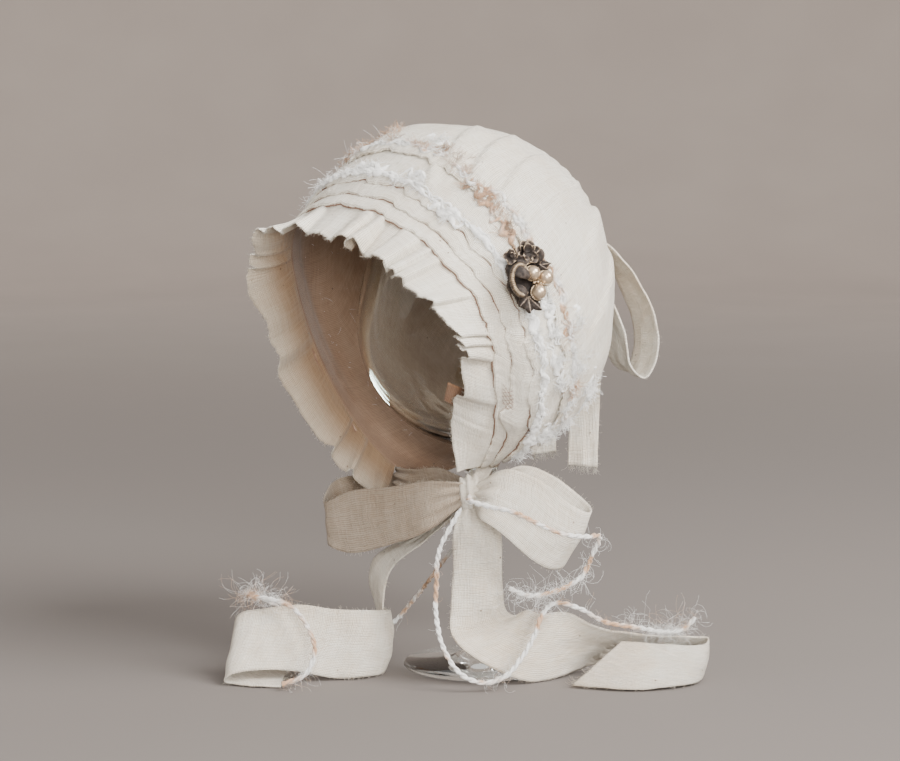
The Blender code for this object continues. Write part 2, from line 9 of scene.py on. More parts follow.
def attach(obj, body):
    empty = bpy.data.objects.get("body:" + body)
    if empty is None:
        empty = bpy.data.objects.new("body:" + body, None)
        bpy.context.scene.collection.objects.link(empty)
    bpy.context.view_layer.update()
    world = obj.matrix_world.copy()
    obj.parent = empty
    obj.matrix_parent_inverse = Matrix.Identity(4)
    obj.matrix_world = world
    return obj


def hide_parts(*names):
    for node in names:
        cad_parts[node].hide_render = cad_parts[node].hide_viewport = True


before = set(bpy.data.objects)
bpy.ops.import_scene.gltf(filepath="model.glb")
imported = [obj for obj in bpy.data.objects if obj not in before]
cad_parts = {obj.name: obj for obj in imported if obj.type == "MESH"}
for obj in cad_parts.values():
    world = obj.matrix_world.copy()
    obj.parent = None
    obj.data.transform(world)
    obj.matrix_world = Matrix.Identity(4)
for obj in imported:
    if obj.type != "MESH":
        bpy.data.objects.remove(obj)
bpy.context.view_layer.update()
mm = 0.001

# camera: the photo's viewpoint, found from the glass's foot, stem and bowl
view = {
    "place": (0.58488, -0.74861, 0.22), "pitch": 84.167, "heading": 38.781, "lens": 89.68,
    "sensor": 36, "near": 0.05,
}


def makeCamera():
    data = bpy.data.cameras.new("camera")
    data.lens, data.sensor_width, data.clip_start = view["lens"], view["sensor"], view["near"]
    camera = bpy.data.objects.new("camera", data)
    camera.location = view["place"]
    camera.rotation_euler = (radians(view["pitch"]), 0, radians(view["heading"]))
    bpy.context.scene.collection.objects.link(camera)
    bpy.context.scene.camera = camera


makeCamera()
print("camera placed")


# shared arithmetic
def smoothStep(low, high, value):
    ratio = min(max((value - low) / (high - low), 0.0), 1.0)
    return ratio * ratio * (3.0 - 2.0 * ratio)


def mix(low, high, ratio):
    return low + (high - low) * ratio


def blend(rows, place):
    # smooth curve through the rows, place counted in rows
    last = len(rows) - 1
    place = min(max(place, 0.0), last - 1e-6)
    index = int(place)
    part = place - index
    now, after = rows[index], rows[index + 1]
    before = rows[index - 1] if index else [2 * a - b for a, b in zip(now, after)]
    beyond = rows[index + 2] if index + 2 <= last else [2 * b - a for a, b in zip(now, after)]
    result = []
    for a, b, c, d in zip(before, now, after, beyond):
        slope = (c - a) * part
        curve = (2 * a - 5 * b + 4 * c - d) * part ** 2
        cube = (3 * b - a - 3 * c + d) * part ** 3
        result.append(0.5 * (2 * b + slope + curve + cube))
    return result


def ripple(point, length):
    # smooth noise from -1 to 1 that changes over this length in millimetres
    return noise.noise(point / length)


def rippleAt(x, y, z, length):
    return ripple(Vector((x, y, z)), length)


layTurn = radians(38)        # the ties and the loose wool lie in axes turned by this about the stem


def lay(x, y, z):
    across = x * cos(layTurn) - y * sin(layTurn)
    along = x * sin(layTurn) + y * cos(layTurn)
    return Vector((across, along, z))


def toLay(point):
    across = point.x * cos(layTurn) + point.y * sin(layTurn)
    along = point.y * cos(layTurn) - point.x * sin(layTurn)
    return Vector((across, along, point.z))


# shader helpers
def newMaterial(name):
    material = bpy.data.materials.new(name)
    material.use_nodes = True
    tree = material.node_tree
    return material, tree, tree.nodes["Principled BSDF"]


def feed(tree, value, socket):
    if isinstance(value, bpy.types.NodeSocket):
        tree.links.new(value, socket)
    elif value is not None:
        socket.default_value = value


def calc(tree, operation, first, second=None, third=None, clamp=False):
    node = tree.nodes.new("ShaderNodeMath")
    node.operation = operation
    node.use_clamp = clamp
    for value, socket in zip((first, second, third), node.inputs):
        feed(tree, value, socket)
    return node.outputs[0]


def scaleVector(tree, vector, scale):
    node = tree.nodes.new("ShaderNodeMapping")
    feed(tree, vector, node.inputs["Vector"])
    node.inputs["Scale"].default_value = scale
    return node.outputs[0]


def noiseNode(tree, vector, scale, detail=2.0, rough=0.5):
    node = tree.nodes.new("ShaderNodeTexNoise")
    feed(tree, vector, node.inputs["Vector"])
    node.inputs["Scale"].default_value = scale
    node.inputs["Detail"].default_value = detail
    node.inputs["Roughness"].default_value = rough
    return node.outputs["Fac"]


def rampNode(tree, factor, low, high, first=0.0, second=1.0):
    node = tree.nodes.new("ShaderNodeMapRange")
    node.interpolation_type = "SMOOTHSTEP"
    feed(tree, factor, node.inputs["Value"])
    for name, value in (("From Min", low), ("From Max", high), ("To Min", first), ("To Max", second)):
        node.inputs[name].default_value = value
    return node.outputs[0]


def asColour(value):
    return (*value, 1.0) if isinstance(value, tuple) else value


def mixColour(tree, factor, first, second, kind="MIX"):
    node = tree.nodes.new("ShaderNodeMix")
    node.data_type = "RGBA"
    node.blend_type = kind
    for value, index in ((factor, 0), (asColour(first), 6), (asColour(second), 7)):
        feed(tree, value, node.inputs[index])
    return node.outputs[2]


def darken(tree, factor, colour, tint):
    return mixColour(tree, factor, colour, mixColour(tree, 1.0, colour, tint, "MULTIPLY"))


def bumpNode(tree, height, strength, distance, normal=None):
    node = tree.nodes.new("ShaderNodeBump")
    feed(tree, height, node.inputs["Height"])
    feed(tree, normal, node.inputs["Normal"])
    node.inputs["Strength"].default_value = strength
    node.inputs["Distance"].default_value = distance
    return node.outputs[0]


def coordinates(tree, kind):
    return tree.nodes.new("ShaderNodeTexCoord").outputs[kind]


def splitVector(tree, vector):
    node = tree.nodes.new("ShaderNodeSeparateXYZ")
    feed(tree, vector, node.inputs[0])
    return node.outputs


def setSockets(shader, values):
    for name, value in values.items():
        shader.inputs[name].default_value = value


def newGroup(name, inputs, outputs):
    group = bpy.data.node_groups.new(name, "ShaderNodeTree")
    for label, kind, value in inputs:
        socket = group.interface.new_socket(label, in_out="INPUT", socket_type=kind)
        if value is not None:
            socket.default_value = value
    for label, kind in outputs:
        group.interface.new_socket(label, in_out="OUTPUT", socket_type=kind)
    entry = group.nodes.new("NodeGroupInput")
    leave = group.nodes.new("NodeGroupOutput")
    return group, entry.outputs, leave.inputs


weaveLook = {
    "wander": 1.3, "round": 0.6, "under": 0.6, "over": 0.5, "runs": (0.40, 0.70), "body": 0.75,
    # each thread's axis and the stretch and scale of its wandering; the two ways that thick runs lie
    "threads": [(0, (1, 1, 1), 160.0), (1, (1, 1.7, 1), 190.0)], "runScales": [(70, 820, 1), (820, 70, 1)],
}


def makeWeaveGroup():
    # plain weave on a flat map in metres: threads that pass over and under, with thick and thin runs
    inputs = [("Flat", "NodeSocketVector", None), ("Threads", "NodeSocketFloat", 1700.0),
              ("Slub", "NodeSocketFloat", 0.5)]
    outputs = [("Height", "NodeSocketFloat"), ("Shade", "NodeSocketFloat")]
    group, given, out = newGroup("plain weave", inputs, outputs)
    flat = given["Flat"]
    parts = splitVector(group, flat)
    waves, bodies, runs = [], [], []
    for axis, stretch, scale in weaveLook["threads"]:
        stray = noiseNode(group, scaleVector(group, flat, stretch), scale)
        turn = calc(group, "MULTIPLY", parts[axis], given["Threads"])
        turn = calc(group, "ADD", turn, calc(group, "MULTIPLY", stray, weaveLook["wander"]))
        waves.append(calc(group, "SINE", calc(group, "MULTIPLY", turn, pi)))
    over = calc(group, "MULTIPLY", calc(group, "MULTIPLY", *waves), weaveLook["over"])
    for wave, side in zip(waves, ("ADD", "SUBTRACT")):
        thread = calc(group, "POWER", calc(group, "ABSOLUTE", wave), weaveLook["round"])
        bodies.append(calc(group, "MULTIPLY", thread, calc(group, side, weaveLook["under"], over)))
    body = calc(group, "MAXIMUM", *bodies)
    for stretch in weaveLook["runScales"]:
        uneven = noiseNode(group, scaleVector(group, flat, stretch), 1.0)
        runs.append(rampNode(group, uneven, *weaveLook["runs"]))
    thick = calc(group, "MULTIPLY", calc(group, "ADD", *runs), given["Slub"])
    height = calc(group, "MULTIPLY", body, calc(group, "ADD", weaveLook["body"], thick))
    ends = calc(group, "MULTIPLY", rampNode(group, body, 0.2, 1.0), 0.9)
    shade = calc(group, "ADD", ends, calc(group, "MULTIPLY", thick, 0.4), clamp=True)
    group.links.new(height, out["Height"])
    group.links.new(shade, out["Shade"])
    return group


def makeStainGroup():
    # soft uneven tone over the cloth and a few dark specks in the yarn
    inputs = [("Point", "NodeSocketVector", None), ("Amount", "NodeSocketFloat", 0.5)]
    outputs = [("Tone", "NodeSocketFloat"), ("Speck", "NodeSocketFloat")]
    group, given, out = newGroup("uneven tone", inputs, outputs)
    broad = rampNode(group, noiseNode(group, given["Point"], 24.0, 4.0, 0.6), 0.35, 0.72)
    close = rampNode(group, noiseNode(group, given["Point"], 150.0, 3.0, 0.6), 0.3, 0.8)
    both = calc(group, "ADD", calc(group, "MULTIPLY", broad, 0.65), calc(group, "MULTIPLY", close, 0.35))
    group.links.new(calc(group, "MULTIPLY", both, given["Amount"]), out["Tone"])
    cells = group.nodes.new("ShaderNodeTexVoronoi")
    group.links.new(given["Point"], cells.inputs["Vector"])
    cells.inputs["Scale"].default_value = 120.0
    group.links.new(rampNode(group, cells.outputs["Distance"], 0.03, 0.06, 1.0, 0.0), out["Speck"])
    return group


weaveGroup = makeWeaveGroup()
stainGroup = makeStainGroup()


def useGroup(tree, group, **values):
    node = tree.nodes.new("ShaderNodeGroup")
    node.node_tree = group
    for name, value in values.items():
        feed(tree, value, node.inputs[name])
    return node.outputs


# cloth, linen-like and unbleached, with its lining and its ribbons; the brown of its inner faces and of the
# lining is painted shade
clothLook = {
    "thread": (0.91, 0.885, 0.795), "gap": (0.36, 0.30, 0.23), "worn": (0.86, 0.78, 0.70),
    "threads": 1450.0, "slub": 0.8, "stain": 0.75, "bump": 0.75, "crumple": 0.32,
}
# painted shade: the brown of cloth faces that look into the bonnet
shadedInsideLook = {
    "thread": (0.51, 0.375, 0.275), "gap": (0.28, 0.19, 0.135), "worn": (0.62, 0.50, 0.40),
    "threads": 1380.0, "slub": 0.5, "stain": 0.8, "bump": 0.5, "crumple": 0.3,
}
ribbonLook = {
    "thread": (0.825, 0.79, 0.705), "gap": (0.40, 0.335, 0.25), "worn": (0.82, 0.71, 0.61),
    "threads": 1480.0, "slub": 0.9, "stain": 0.85, "bump": 0.8, "crumple": 0.35,
}
# painted shade: a deeper brown for the inner lining, where little light reaches
deepShadeInside = {"thread": (0.65, 0.465, 0.33), "gap": (0.34, 0.225, 0.155)}
# painted shade: the dark brown of the turned corner's underside
shadedCornerLook = {"thread": (0.36, 0.215, 0.125), "gap": (0.17, 0.09, 0.05), "worn": (0.46, 0.30, 0.20)}
# painted shade: a browner ribbon for the loop and strap that lie in shade
shadedRibbonLook = {"thread": (0.45, 0.37, 0.29), "gap": (0.20, 0.15, 0.105), "worn": (0.66, 0.57, 0.47)}
# painted shade: the frill darkens towards its root, in the recess by the seam
frillRootShade = {"from": 0.004, "to": 0.024, "tint": (0.50, 0.37, 0.27)}
# painted shade: darkens the lining near its front edge, as far in as its reach in metres
capFrontShade = {"from": 0.010, "to": 0.075, "tint": (0.46, 0.425, 0.41)}


def clothMaterial(name, look, rootShade=None):
    # the root look is painted shade: it darkens the cloth near the start of its flat map, as far in as its
    # reach in metres
    material, tree, shader = newMaterial(name)
    point, flat = coordinates(tree, "Object"), coordinates(tree, "UV")
    weave = useGroup(tree, weaveGroup, Flat=flat, Threads=look["threads"], Slub=look["slub"])
    stain = useGroup(tree, stainGroup, Point=point, Amount=look["stain"])
    colour = mixColour(tree, weave["Shade"], look["gap"], look["thread"])
    colour = darken(tree, stain["Tone"], colour, look["worn"])
    colour = mixColour(tree, stain["Speck"], colour, (0.16, 0.10, 0.06))
    if rootShade:
        depth = rampNode(tree, splitVector(tree, flat)[1], rootShade["from"], rootShade["to"], 1.0, 0.0)
        colour = darken(tree, depth, colour, rootShade["tint"])
    feed(tree, colour, shader.inputs["Base Color"])
    feed(tree, rampNode(tree, weave["Height"], 0.0, 1.0, 0.97, 0.84), shader.inputs["Roughness"])
    setSockets(shader, {"Sheen Weight": 0.18, "Sheen Roughness": 0.45})
    creases = bumpNode(tree, noiseNode(tree, point, 120.0, 3.0, 0.6), look["crumple"], 0.0016)
    feed(tree, bumpNode(tree, weave["Height"], look["bump"], 0.00032, creases), shader.inputs["Normal"])
    return material


bonnetCloth = clothMaterial("bonnetCloth", clothLook)
bonnetShadedInside = clothMaterial("bonnetShadedInside", shadedInsideLook)
# painted shade: the frill's inner face is darker and browner, most of all near its root
frillShadedInside = clothMaterial("frillShadedInside", dict(clothLook, thread=(0.61, 0.54, 0.44)), frillRootShade)
# painted shade: the inner lining is brown all over and darkest near its front
capShadedInside = clothMaterial("capShadedInside", {**shadedInsideLook, **deepShadeInside}, capFrontShade)
ribbonCloth = clothMaterial("ribbonCloth", ribbonLook)
shadedCorner = clothMaterial("shadedCorner", {**shadedInsideLook, **shadedCornerLook})
shadedRibbon = clothMaterial("shadedRibbon", {**ribbonLook, **shadedRibbonLook})

# mohair, in white, peach and a brown-tan
woolLook = {
    "white": (0.92, 0.92, 0.905), "peach": (0.62, 0.385, 0.235), "tan": (0.33, 0.205, 0.12),
    "shade": (0.6624, 0.6624, 0.6516), "hollow": (0.66, 0.64, 0.62), "fibre": (2600.0, 3.0, 0.7),
}


def finishWool(tree, shader, colour, fibre):
    feed(tree, colour, shader.inputs["Base Color"])
    setSockets(shader, {"Roughness": 0.9, "Sheen Weight": 0.5})
    feed(tree, bumpNode(tree, fibre, 0.5, 0.0003), shader.inputs["Normal"])


def plainWool(name, colour, dark):
    material, tree, shader = newMaterial(name)
    point = coordinates(tree, "Object")
    fibre = noiseNode(tree, point, *woolLook["fibre"])
    patch = rampNode(tree, noiseNode(tree, point, 160.0, 2.0), 0.4, 0.7)
    base = mixColour(tree, rampNode(tree, fibre, 0.3, 0.7), dark, colour)
    finishWool(tree, shader, mixColour(tree, patch, base, mixColour(tree, 0.5, base, colour)), fibre)
    return material


def patchedWool(name, scale, low, high):
    # white yarn whose patches turn peach and, in their middle, tan
    material, tree, shader = newMaterial(name)
    point = coordinates(tree, "Object")
    fibre = rampNode(tree, noiseNode(tree, point, *woolLook["fibre"]), 0.3, 0.7)
    patch = noiseNode(tree, point, scale, 2.0, 0.6)
    tinted = mixColour(tree, rampNode(tree, patch, low, high), woolLook["white"], woolLook["peach"])
    tinted = mixColour(tree, rampNode(tree, patch, high, high + 0.1), tinted, woolLook["tan"])
    shaded = mixColour(tree, 1.0, tinted, woolLook["hollow"], "MULTIPLY")
    finishWool(tree, shader, mixColour(tree, fibre, shaded, tinted), fibre)
    return material


whiteWool = plainWool("whiteWool", woolLook["white"], woolLook["shade"])
mixedWool = patchedWool("mixedWool", 75.0, 0.50, 0.62)
warmWool = patchedWool("warmWool", 90.0, 0.40, 0.60)
tanWool = patchedWool("tanWool", 90.0, 0.24, 0.50)

stitchLook = {"light": (0.34, 0.20, 0.14), "dark": (0.10, 0.045, 0.032)}


def threadMaterial():
    material, tree, shader = newMaterial("sewingThread")
    twist = noiseNode(tree, coordinates(tree, "Object"), 3000.0, 2.0)
    feed(tree, mixColour(tree, twist, stitchLook["dark"], stitchLook["light"]), shader.inputs["Base Color"])
    setSockets(shader, {"Roughness": 0.8})
    feed(tree, bumpNode(tree, twist, 0.4, 0.0002), shader.inputs["Normal"])
    return material


sewingThread = threadMaterial()


# pieces: every finished piece rides on the one body
def settle(piece, slotName, *nodes):
    bpy.context.scene.collection.objects.link(piece)
    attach(piece, "root")
    if nodes:
        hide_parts(*nodes)


def smoothFaces(faces):
    for face in faces:
        face.smooth = True


def addPatch(mesh, across, along, pointAt, outward=None):
    # grid bent by pointAt(across 0 to 1, along 0 to 1) in millimetres, with a flat map in metres
    flatMap = mesh.loops.layers.uv.verify()
    made = bmesh.ops.create_grid(mesh, x_segments=across, y_segments=along, size=0.5)["verts"]
    grid = {}
    for vert in made:
        column, row = round((vert.co.x + 0.5) * across), round((vert.co.y + 0.5) * along)
        grid[column, row] = vert
        vert.co = pointAt(column / across, row / along) * mm
    width, middle, flat = 0.0, along // 2, {}
    for column in range(across + 1):
        if column:
            width += (grid[column, middle].co - grid[column - 1, middle].co).length
        run = 0.0
        flat[grid[column, 0]] = (width, run)
        for row in range(along):
            run += (grid[column, row + 1].co - grid[column, row].co).length
            flat[grid[column, row + 1]] = (width, run)
    faces = {face for vert in made for face in vert.link_faces}
    smoothFaces(faces)
    for face in faces:
        for corner in face.loops:
            corner[flatMap].uv = flat[corner.vert]
    mesh.normal_update()
    if outward and sum(face.normal.dot(outward(face.calc_center_median())) for face in faces) < 0:
        bmesh.ops.reverse_faces(mesh, faces=list(faces))
    return width, sum(flat[grid[column, along]][1] for column in range(across + 1)) / (across + 1)


def meshObject(name, mesh, *materials):
    data = bpy.data.meshes.new(name)
    mesh.to_mesh(data)
    mesh.free()
    for material in materials:
        data.materials.append(material)
    return bpy.data.objects.new(name, data)


def thicken(piece, wall, inside=False):
    # a wall on both sides of the sheet, whose inner face may take the second material
    solid = piece.modifiers.new("wall", "SOLIDIFY")
    solid.thickness = wall * mm
    solid.offset = 0.0
    solid.use_quality_normals = True
    solid.material_offset = int(inside)


def settleSheet(piece, size, wall, nodes, held, restsOn, inside=False, digits=3, **more):
    # a cloth piece with its flat size in metres
    flat = (round(max(size[0], 0.01), digits), round(size[1], digits))
    thicken(piece, wall, inside)
    settle(piece, "cloth", *nodes)
    print(piece.name, flat)


def curveObject(name, runs, radius, material, resolution=0, radii=None):
    # many short round runs in one curve, points in millimetres
    curve = bpy.data.curves.new(name, "CURVE")
    curve.dimensions = "3D"
    curve.bevel_depth = radius * mm
    curve.bevel_resolution = resolution
    curve.use_fill_caps = True
    for index, points in enumerate(runs):
        spline = curve.splines.new("POLY")
        spline.points.add(len(points) - 1)
        flat = [number for point in points for number in (point.x * mm, point.y * mm, point.z * mm, 1.0)]
        spline.points.foreach_set("co", flat)
        if radii:
            spline.points.foreach_set("radius", radii[index])
    curve.materials.append(material)
    return bpy.data.objects.new(name, curve)


# the bonnet's own axes: y runs from the face to the nape and z to the top of the head
bonnetShape = {
    "tip": 25.0, "lean": 15.0, "turn": -3.0, "seat": (-6.0, -5.0, 166.0),
    # y, z, half width, rise, drop, end angle on the left, end angle on the right
    "sections": [
        (-49, 10, 58, 42, 90, 133, 170),
        (-43, 9, 59, 44, 89, 134, 169),
        (-36.5, 5, 62, 50, 83, 138, 165),
        (-30, 1, 66, 57, 77, 140, 169),
        (-12, -4, 68, 69, 74, 134, 169),
        (12, -5, 66, 69, 70, 124, 164),
        (37, -6, 50, 56, 61, 124, 148),
        (52, -7, 31, 39, 41, 132, 140),
        (61, -13, 6, 6, 6, 155, 155),
    ],
    "seam": 1.0, "tuckOne": 2.0, "tuckTwo": 3.0, "crownSeam": 3.88, "gather": 8.0,
}


def bonnetPose():
    tip = Matrix.Rotation(radians(bonnetShape["tip"]), 4, "X")
    lean = Matrix.Rotation(radians(bonnetShape["lean"]), 4, "Y")
    turn = Matrix.Rotation(radians(bonnetShape["turn"]), 4, "Z")
    return Matrix.Translation(Vector(bonnetShape["seat"])) @ turn @ lean @ tip


pose = bonnetPose()
bonnetMiddle = pose @ Vector((0, 0, -8)) * mm


def bonnetPoint(row, place):
    # place runs from -1 at the right chin over the head to 1 at the left chin
    y, z, width, rise, drop, left, right = blend(bonnetShape["sections"], row)
    angle = radians(left if place >= 0 else right) * place
    height = rise if cos(angle) > 0 else drop
    return pose @ Vector((width * sin(angle), y, z + height * cos(angle)))


def bonnetNormal(row, place):
    step = 0.02
    low, high = max(row - step, 0.0), min(row + step, bonnetShape["gather"])
    along = bonnetPoint(high, place) - bonnetPoint(low, place)
    around = bonnetPoint(row, min(place + step, 1.0)) - bonnetPoint(row, max(place - step, -1.0))
    return along.cross(around).normalized() * -1.0


def raised(row, place, lift):
    return bonnetPoint(row, place) + bonnetNormal(row, place) * lift


def awayFromHead(point):
    return point - bonnetMiddle


foldLook = {"ahead": 130.0, "start": (0.0, 0.2), "end": (0.75, 1.0), "sharp": (-0.9, 0.4), "top": 0.5}


def foldSteps(row, place, lines):
    # soft folds that lap over each other: each has a sharp side and a long slope
    total = 0.0
    for row0, place0, row1, place1, height, reach in lines:
        part = (row - row0) / (row1 - row0)
        if 0.0 < part < 1.0:
            side = (place - mix(place0, place1, part)) * foldLook["ahead"]
            ends = smoothStep(*foldLook["start"], part) * (1.0 - smoothStep(*foldLook["end"], part))
            slope = smoothStep(*foldLook["sharp"], side) * (1.0 - smoothStep(foldLook["top"], reach, side))
            total += height * ends * slope
    return total


# cords: three loose strands of mohair yarn, routes in the turned axes
strandShape = {"diameter": 2.6, "plies": 2, "plyRadius": 0.62, "offset": 0.52, "twist": 7.5}
yarnLook = {"swell": 0.28, "swellLength": 3.5, "plySpacing": 31}
woolLoop = [
    (-4.5, -37.6, 79), (-4, -45, 78), (4, -50, 76.5), (13, -53, 75), (22, -54, 71), (33, -52, 66),
    (43, -48, 64), (49, -42, 63), (46, -38, 54), (42, -39, 46), (35, -40, 41.5), (28, -40, 39),
    (20, -40, 38), (12, -40, 41),
]
woolLeft = [
    (-8, -36.3, 73.5), (-12, -39.5, 67), (-17, -39.5, 56), (-18, -39, 43), (-18, -44, 30),
    (-15, -49, 18), (-8, -52, 8), (1, -51, 4), (10, -49, 6), (17, -45, 13), (22, -42, 21),
    (26, -37, 30), (32, -30, 33), (42, -28, 30), (52, -30, 25), (65, -29, 22.5), (76, -28, 20.5),
    (85, -26, 21), (90, -25, 26),
]
woolRight = [
    (-1.5, -25.5, 72.5), (-9, -11, 56), (-19, 4, 40), (-29, 15, 25), (-40, 23, 12), (-54, 20, 7),
    (-68, 6, 12), (-83, -10, 25), (-95, -19, 34), (-97, -28, 35), (-88, -33, 35), (-78, -36, 32),
    (-71, -40, 24), (-68, -44, 15), (-72, -47, 6), (-81, -50, 3),
]


def pathThrough(rows, step):
    points = []
    count = (len(rows) - 1) * 10
    for k in range(count + 1):
        point = lay(*blend(rows, (len(rows) - 1) * k / count))
        if not points or (point - points[-1]).length >= step or k == count:
            points.append(point)
    return points


def frameAlong(points, index):
    tangent = (points[min(index + 1, len(points) - 1)] - points[max(index - 1, 0)]).normalized()
    side = tangent.cross(Vector((0.31, 0.17, 0.93))).normalized()
    return side, side.cross(tangent)


def twistedRuns(points, shape, seed):
    # plies wound round the path, thick and thin like hand-spun yarn
    start = Random(seed).uniform(0, 2 * pi)
    runs, radii = [], []
    for ply in range(shape["plies"]):
        run, sizes, length = [], [], 0.0
        for index, point in enumerate(points):
            if index:
                length += (point - points[index - 1]).length
            side, up = frameAlong(points, index)
            turn = start + 2 * pi * (ply / shape["plies"] + length / shape["twist"])
            spot = point + Vector((ply * yarnLook["plySpacing"], seed, 0))
            swell = 1.0 + yarnLook["swell"] * ripple(spot, yarnLook["swellLength"])
            run.append(point + (side * cos(turn) + up * sin(turn)) * shape["offset"] * swell)
            sizes.append(swell)
        runs.append(run)
        radii.append(sizes)
    return runs, radii


def curveToMesh(piece):
    # the same shape as a mesh, for cords and sheets that need one
    bpy.context.scene.collection.objects.link(piece)
    bpy.context.view_layer.update()
    data = bpy.data.meshes.new_from_object(piece.evaluated_get(bpy.context.evaluated_depsgraph_get()))
    data.shade_smooth()
    name = piece.name
    bpy.data.objects.remove(piece)
    return bpy.data.objects.new(name, data)


def makeStrand(name, rows, seed, node, material):
    path = pathThrough(rows, 0.8)
    runs, radii = twistedRuns(path, strandShape, seed)
    made = curveToMesh(curveObject(name, runs, strandShape["plyRadius"], material, 2, radii))
    settle(made, "white_wool", node)
    line = [[number * mm for number in point] for point in path]
    length = round(sum((b - a).length for a, b in zip(path, path[1:])) * mm, 3)
    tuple(line[0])
    print("strand", name, length)
    return path


loopPath = makeStrand("strandLoop", woolLoop, 3, "wool_end_loop", mixedWool)
leftPath = makeStrand("strandLeft", woolLeft, 4, "wool_end_left", mixedWool)
rightPath = makeStrand("strandRight", woolRight, 5, "wool_end_right", warmWool)
print("cords laid")


def aboveFloor(point, clear=0.5):
    return Vector((point.x, point.y, max(point.z, clear)))


# fluff: fine mohair fibres that stand round the yarn
def randomDirection(rng):
    while True:
        way = Vector((rng.uniform(-1, 1), rng.uniform(-1, 1), rng.uniform(-1, 1)))
        if 0.05 < way.length < 1.0:
            return way.normalized()


def hair(rng, start, way, length, curl, points):
    # a fibre that curls one way all along its length
    run, point, step = [start], start, length / (points - 1)
    bend = Quaternion(randomDirection(rng), curl * rng.uniform(0.9, 2.9) / (points - 1))
    for _ in range(points - 1):
        way = (bend @ way + randomDirection(rng) * 0.2).normalized()
        point = aboveFloor(point + way * step, 0.15)
        run.append(point)
    return run


# loose threads that stand out of a raw cut edge
frayLook = {"radius": 0.05, "length": 1.3, "spread": 0.7, "bend": 0.8, "root": 0.4}
frayRuns = []


def addFray(seed, count, pointAt, edgeAt, innerAt, length=1.0):
    rng = Random(seed)
    for _ in range(count):
        part = rng.random()
        edge, inner = pointAt(*edgeAt(part)), pointAt(*innerAt(part))
        way = (edge - inner).normalized()
        way = (way + randomDirection(rng) * frayLook["spread"]).normalized()
        reach = frayLook["length"] * length * rng.uniform(0.4, 1.6)
        middle = edge + way * reach * 0.5
        tip = middle + (way + randomDirection(rng) * frayLook["bend"]).normalized() * reach * 0.5
        frayRuns.append([edge - way * frayLook["root"], middle, aboveFloor(tip, 0.1)])


# bonnet strips: section row and lift of the wall's middle, so that each front edge is a real folded edge
stripShape = {
    "wall": 0.6, "around": 270, "along": 32, "lap": 0.17, "pucker": 0.26, "puckerCount": 50,
    "drape": 0.45, "drapeLength": 13.0, "fine": 0.25, "fineLength": 4.5, "wander": 0.27, "wanderLength": 8.0,
    "curlPlace": 0.815, "curlWidth": 0.034, "curl": 0.85, "curlRise": 1.5, "crownWander": 0.4,
    # rows behind the folded edge over which these fade or grow
    "wanderFade": (0.25, 0.8), "puckerFade": (0.0, 0.6), "drapeGrow": (0.1, 0.5), "curlFade": (0.2, 1.1),
}
lapProfile = [
    (0.42, 0.75), (0.24, 0.75), (0.10, 0.78), (0.03, 0.92), (0.0, 1.2), (0.0, 1.5), (0.03, 1.78),
    (0.10, 1.92), (0.30, 1.85), (0.55, 1.55), (0.80, 1.15),
]
panelFolds = [(3.30, 0.080, 4.30, 0.020, 1.7, 6.0), (3.1, -0.30, 3.8, -0.26, 0.7, 6.0),
              (3.2, 0.60, 3.9, 0.66, 0.8, 6.0), (3.05, 0.86, 3.8, 0.80, 0.8, 5.0)]
tuckFolds = [(1.15, 0.885, 2.1, 0.925, 0.8, 3.0), (1.1, 0.42, 2.0, 0.46, 0.5, 4.0),
             (2.1, -0.22, 3.1, -0.18, 0.6, 5.0)]
frontTuck, backTuck, panelEdge, crownEdge = 11, 12, 13, 14        # seeds of the folded edges


def curlAt(place):
    # the back tuck curls forward at one place
    away = (place - stripShape["curlPlace"]) / stripShape["curlWidth"]
    return exp(-away * away)


def edgeWander(place, seed):
    # how far a hand-sewn edge strays from its row, in rows
    shape = stripShape
    stray = rippleAt(place * 150, seed, 0, shape["wanderLength"])
    stray += 0.5 * rippleAt(place * 150, seed, 4, shape["wanderLength"] * 0.35)
    stray *= shape["wander"] * (1.0 - smoothStep(0.9, 1.0, abs(place)))
    if seed == backTuck:
        stray -= shape["curl"] * curlAt(place)
    if seed == crownEdge:
        stray *= shape["crownWander"]
    return stray


def stripPoint(across, along, profile, folds, seed):
    shape = stripShape
    place = -1.0 + 2.0 * across
    row, lift = blend(profile, (len(profile) - 1) * along)
    start = min(line[0] for line in profile)
    row += edgeWander(place, seed) * (1.0 - smoothStep(*shape["wanderFade"], row - start))
    point, normal = bonnetPoint(row, place), bonnetNormal(row, place)
    edge = 1.0 - smoothStep(*shape["puckerFade"], row - start)
    pucker = cos(2 * pi * shape["puckerCount"] * place + 5.0 * rippleAt(place * 60, seed, row, 5.0))
    pucker *= shape["pucker"] * edge * abs(rippleAt(place * 80, seed, 2, 4.0)) * 2.0
    spot = point + Vector((seed * 7, 0, 0))
    drape = shape["drape"] * ripple(spot, shape["drapeLength"])
    drape += shape["fine"] * ripple(spot, shape["fineLength"])
    drape *= smoothStep(*shape["drapeGrow"], row - start)
    if seed == backTuck:
        lift += shape["curlRise"] * curlAt(place) * (1.0 - smoothStep(*shape["curlFade"], row - start))
    return point + normal * (lift + pucker + 0.35 * abs(drape) + drape * 0.5 + foldSteps(row, place, folds))


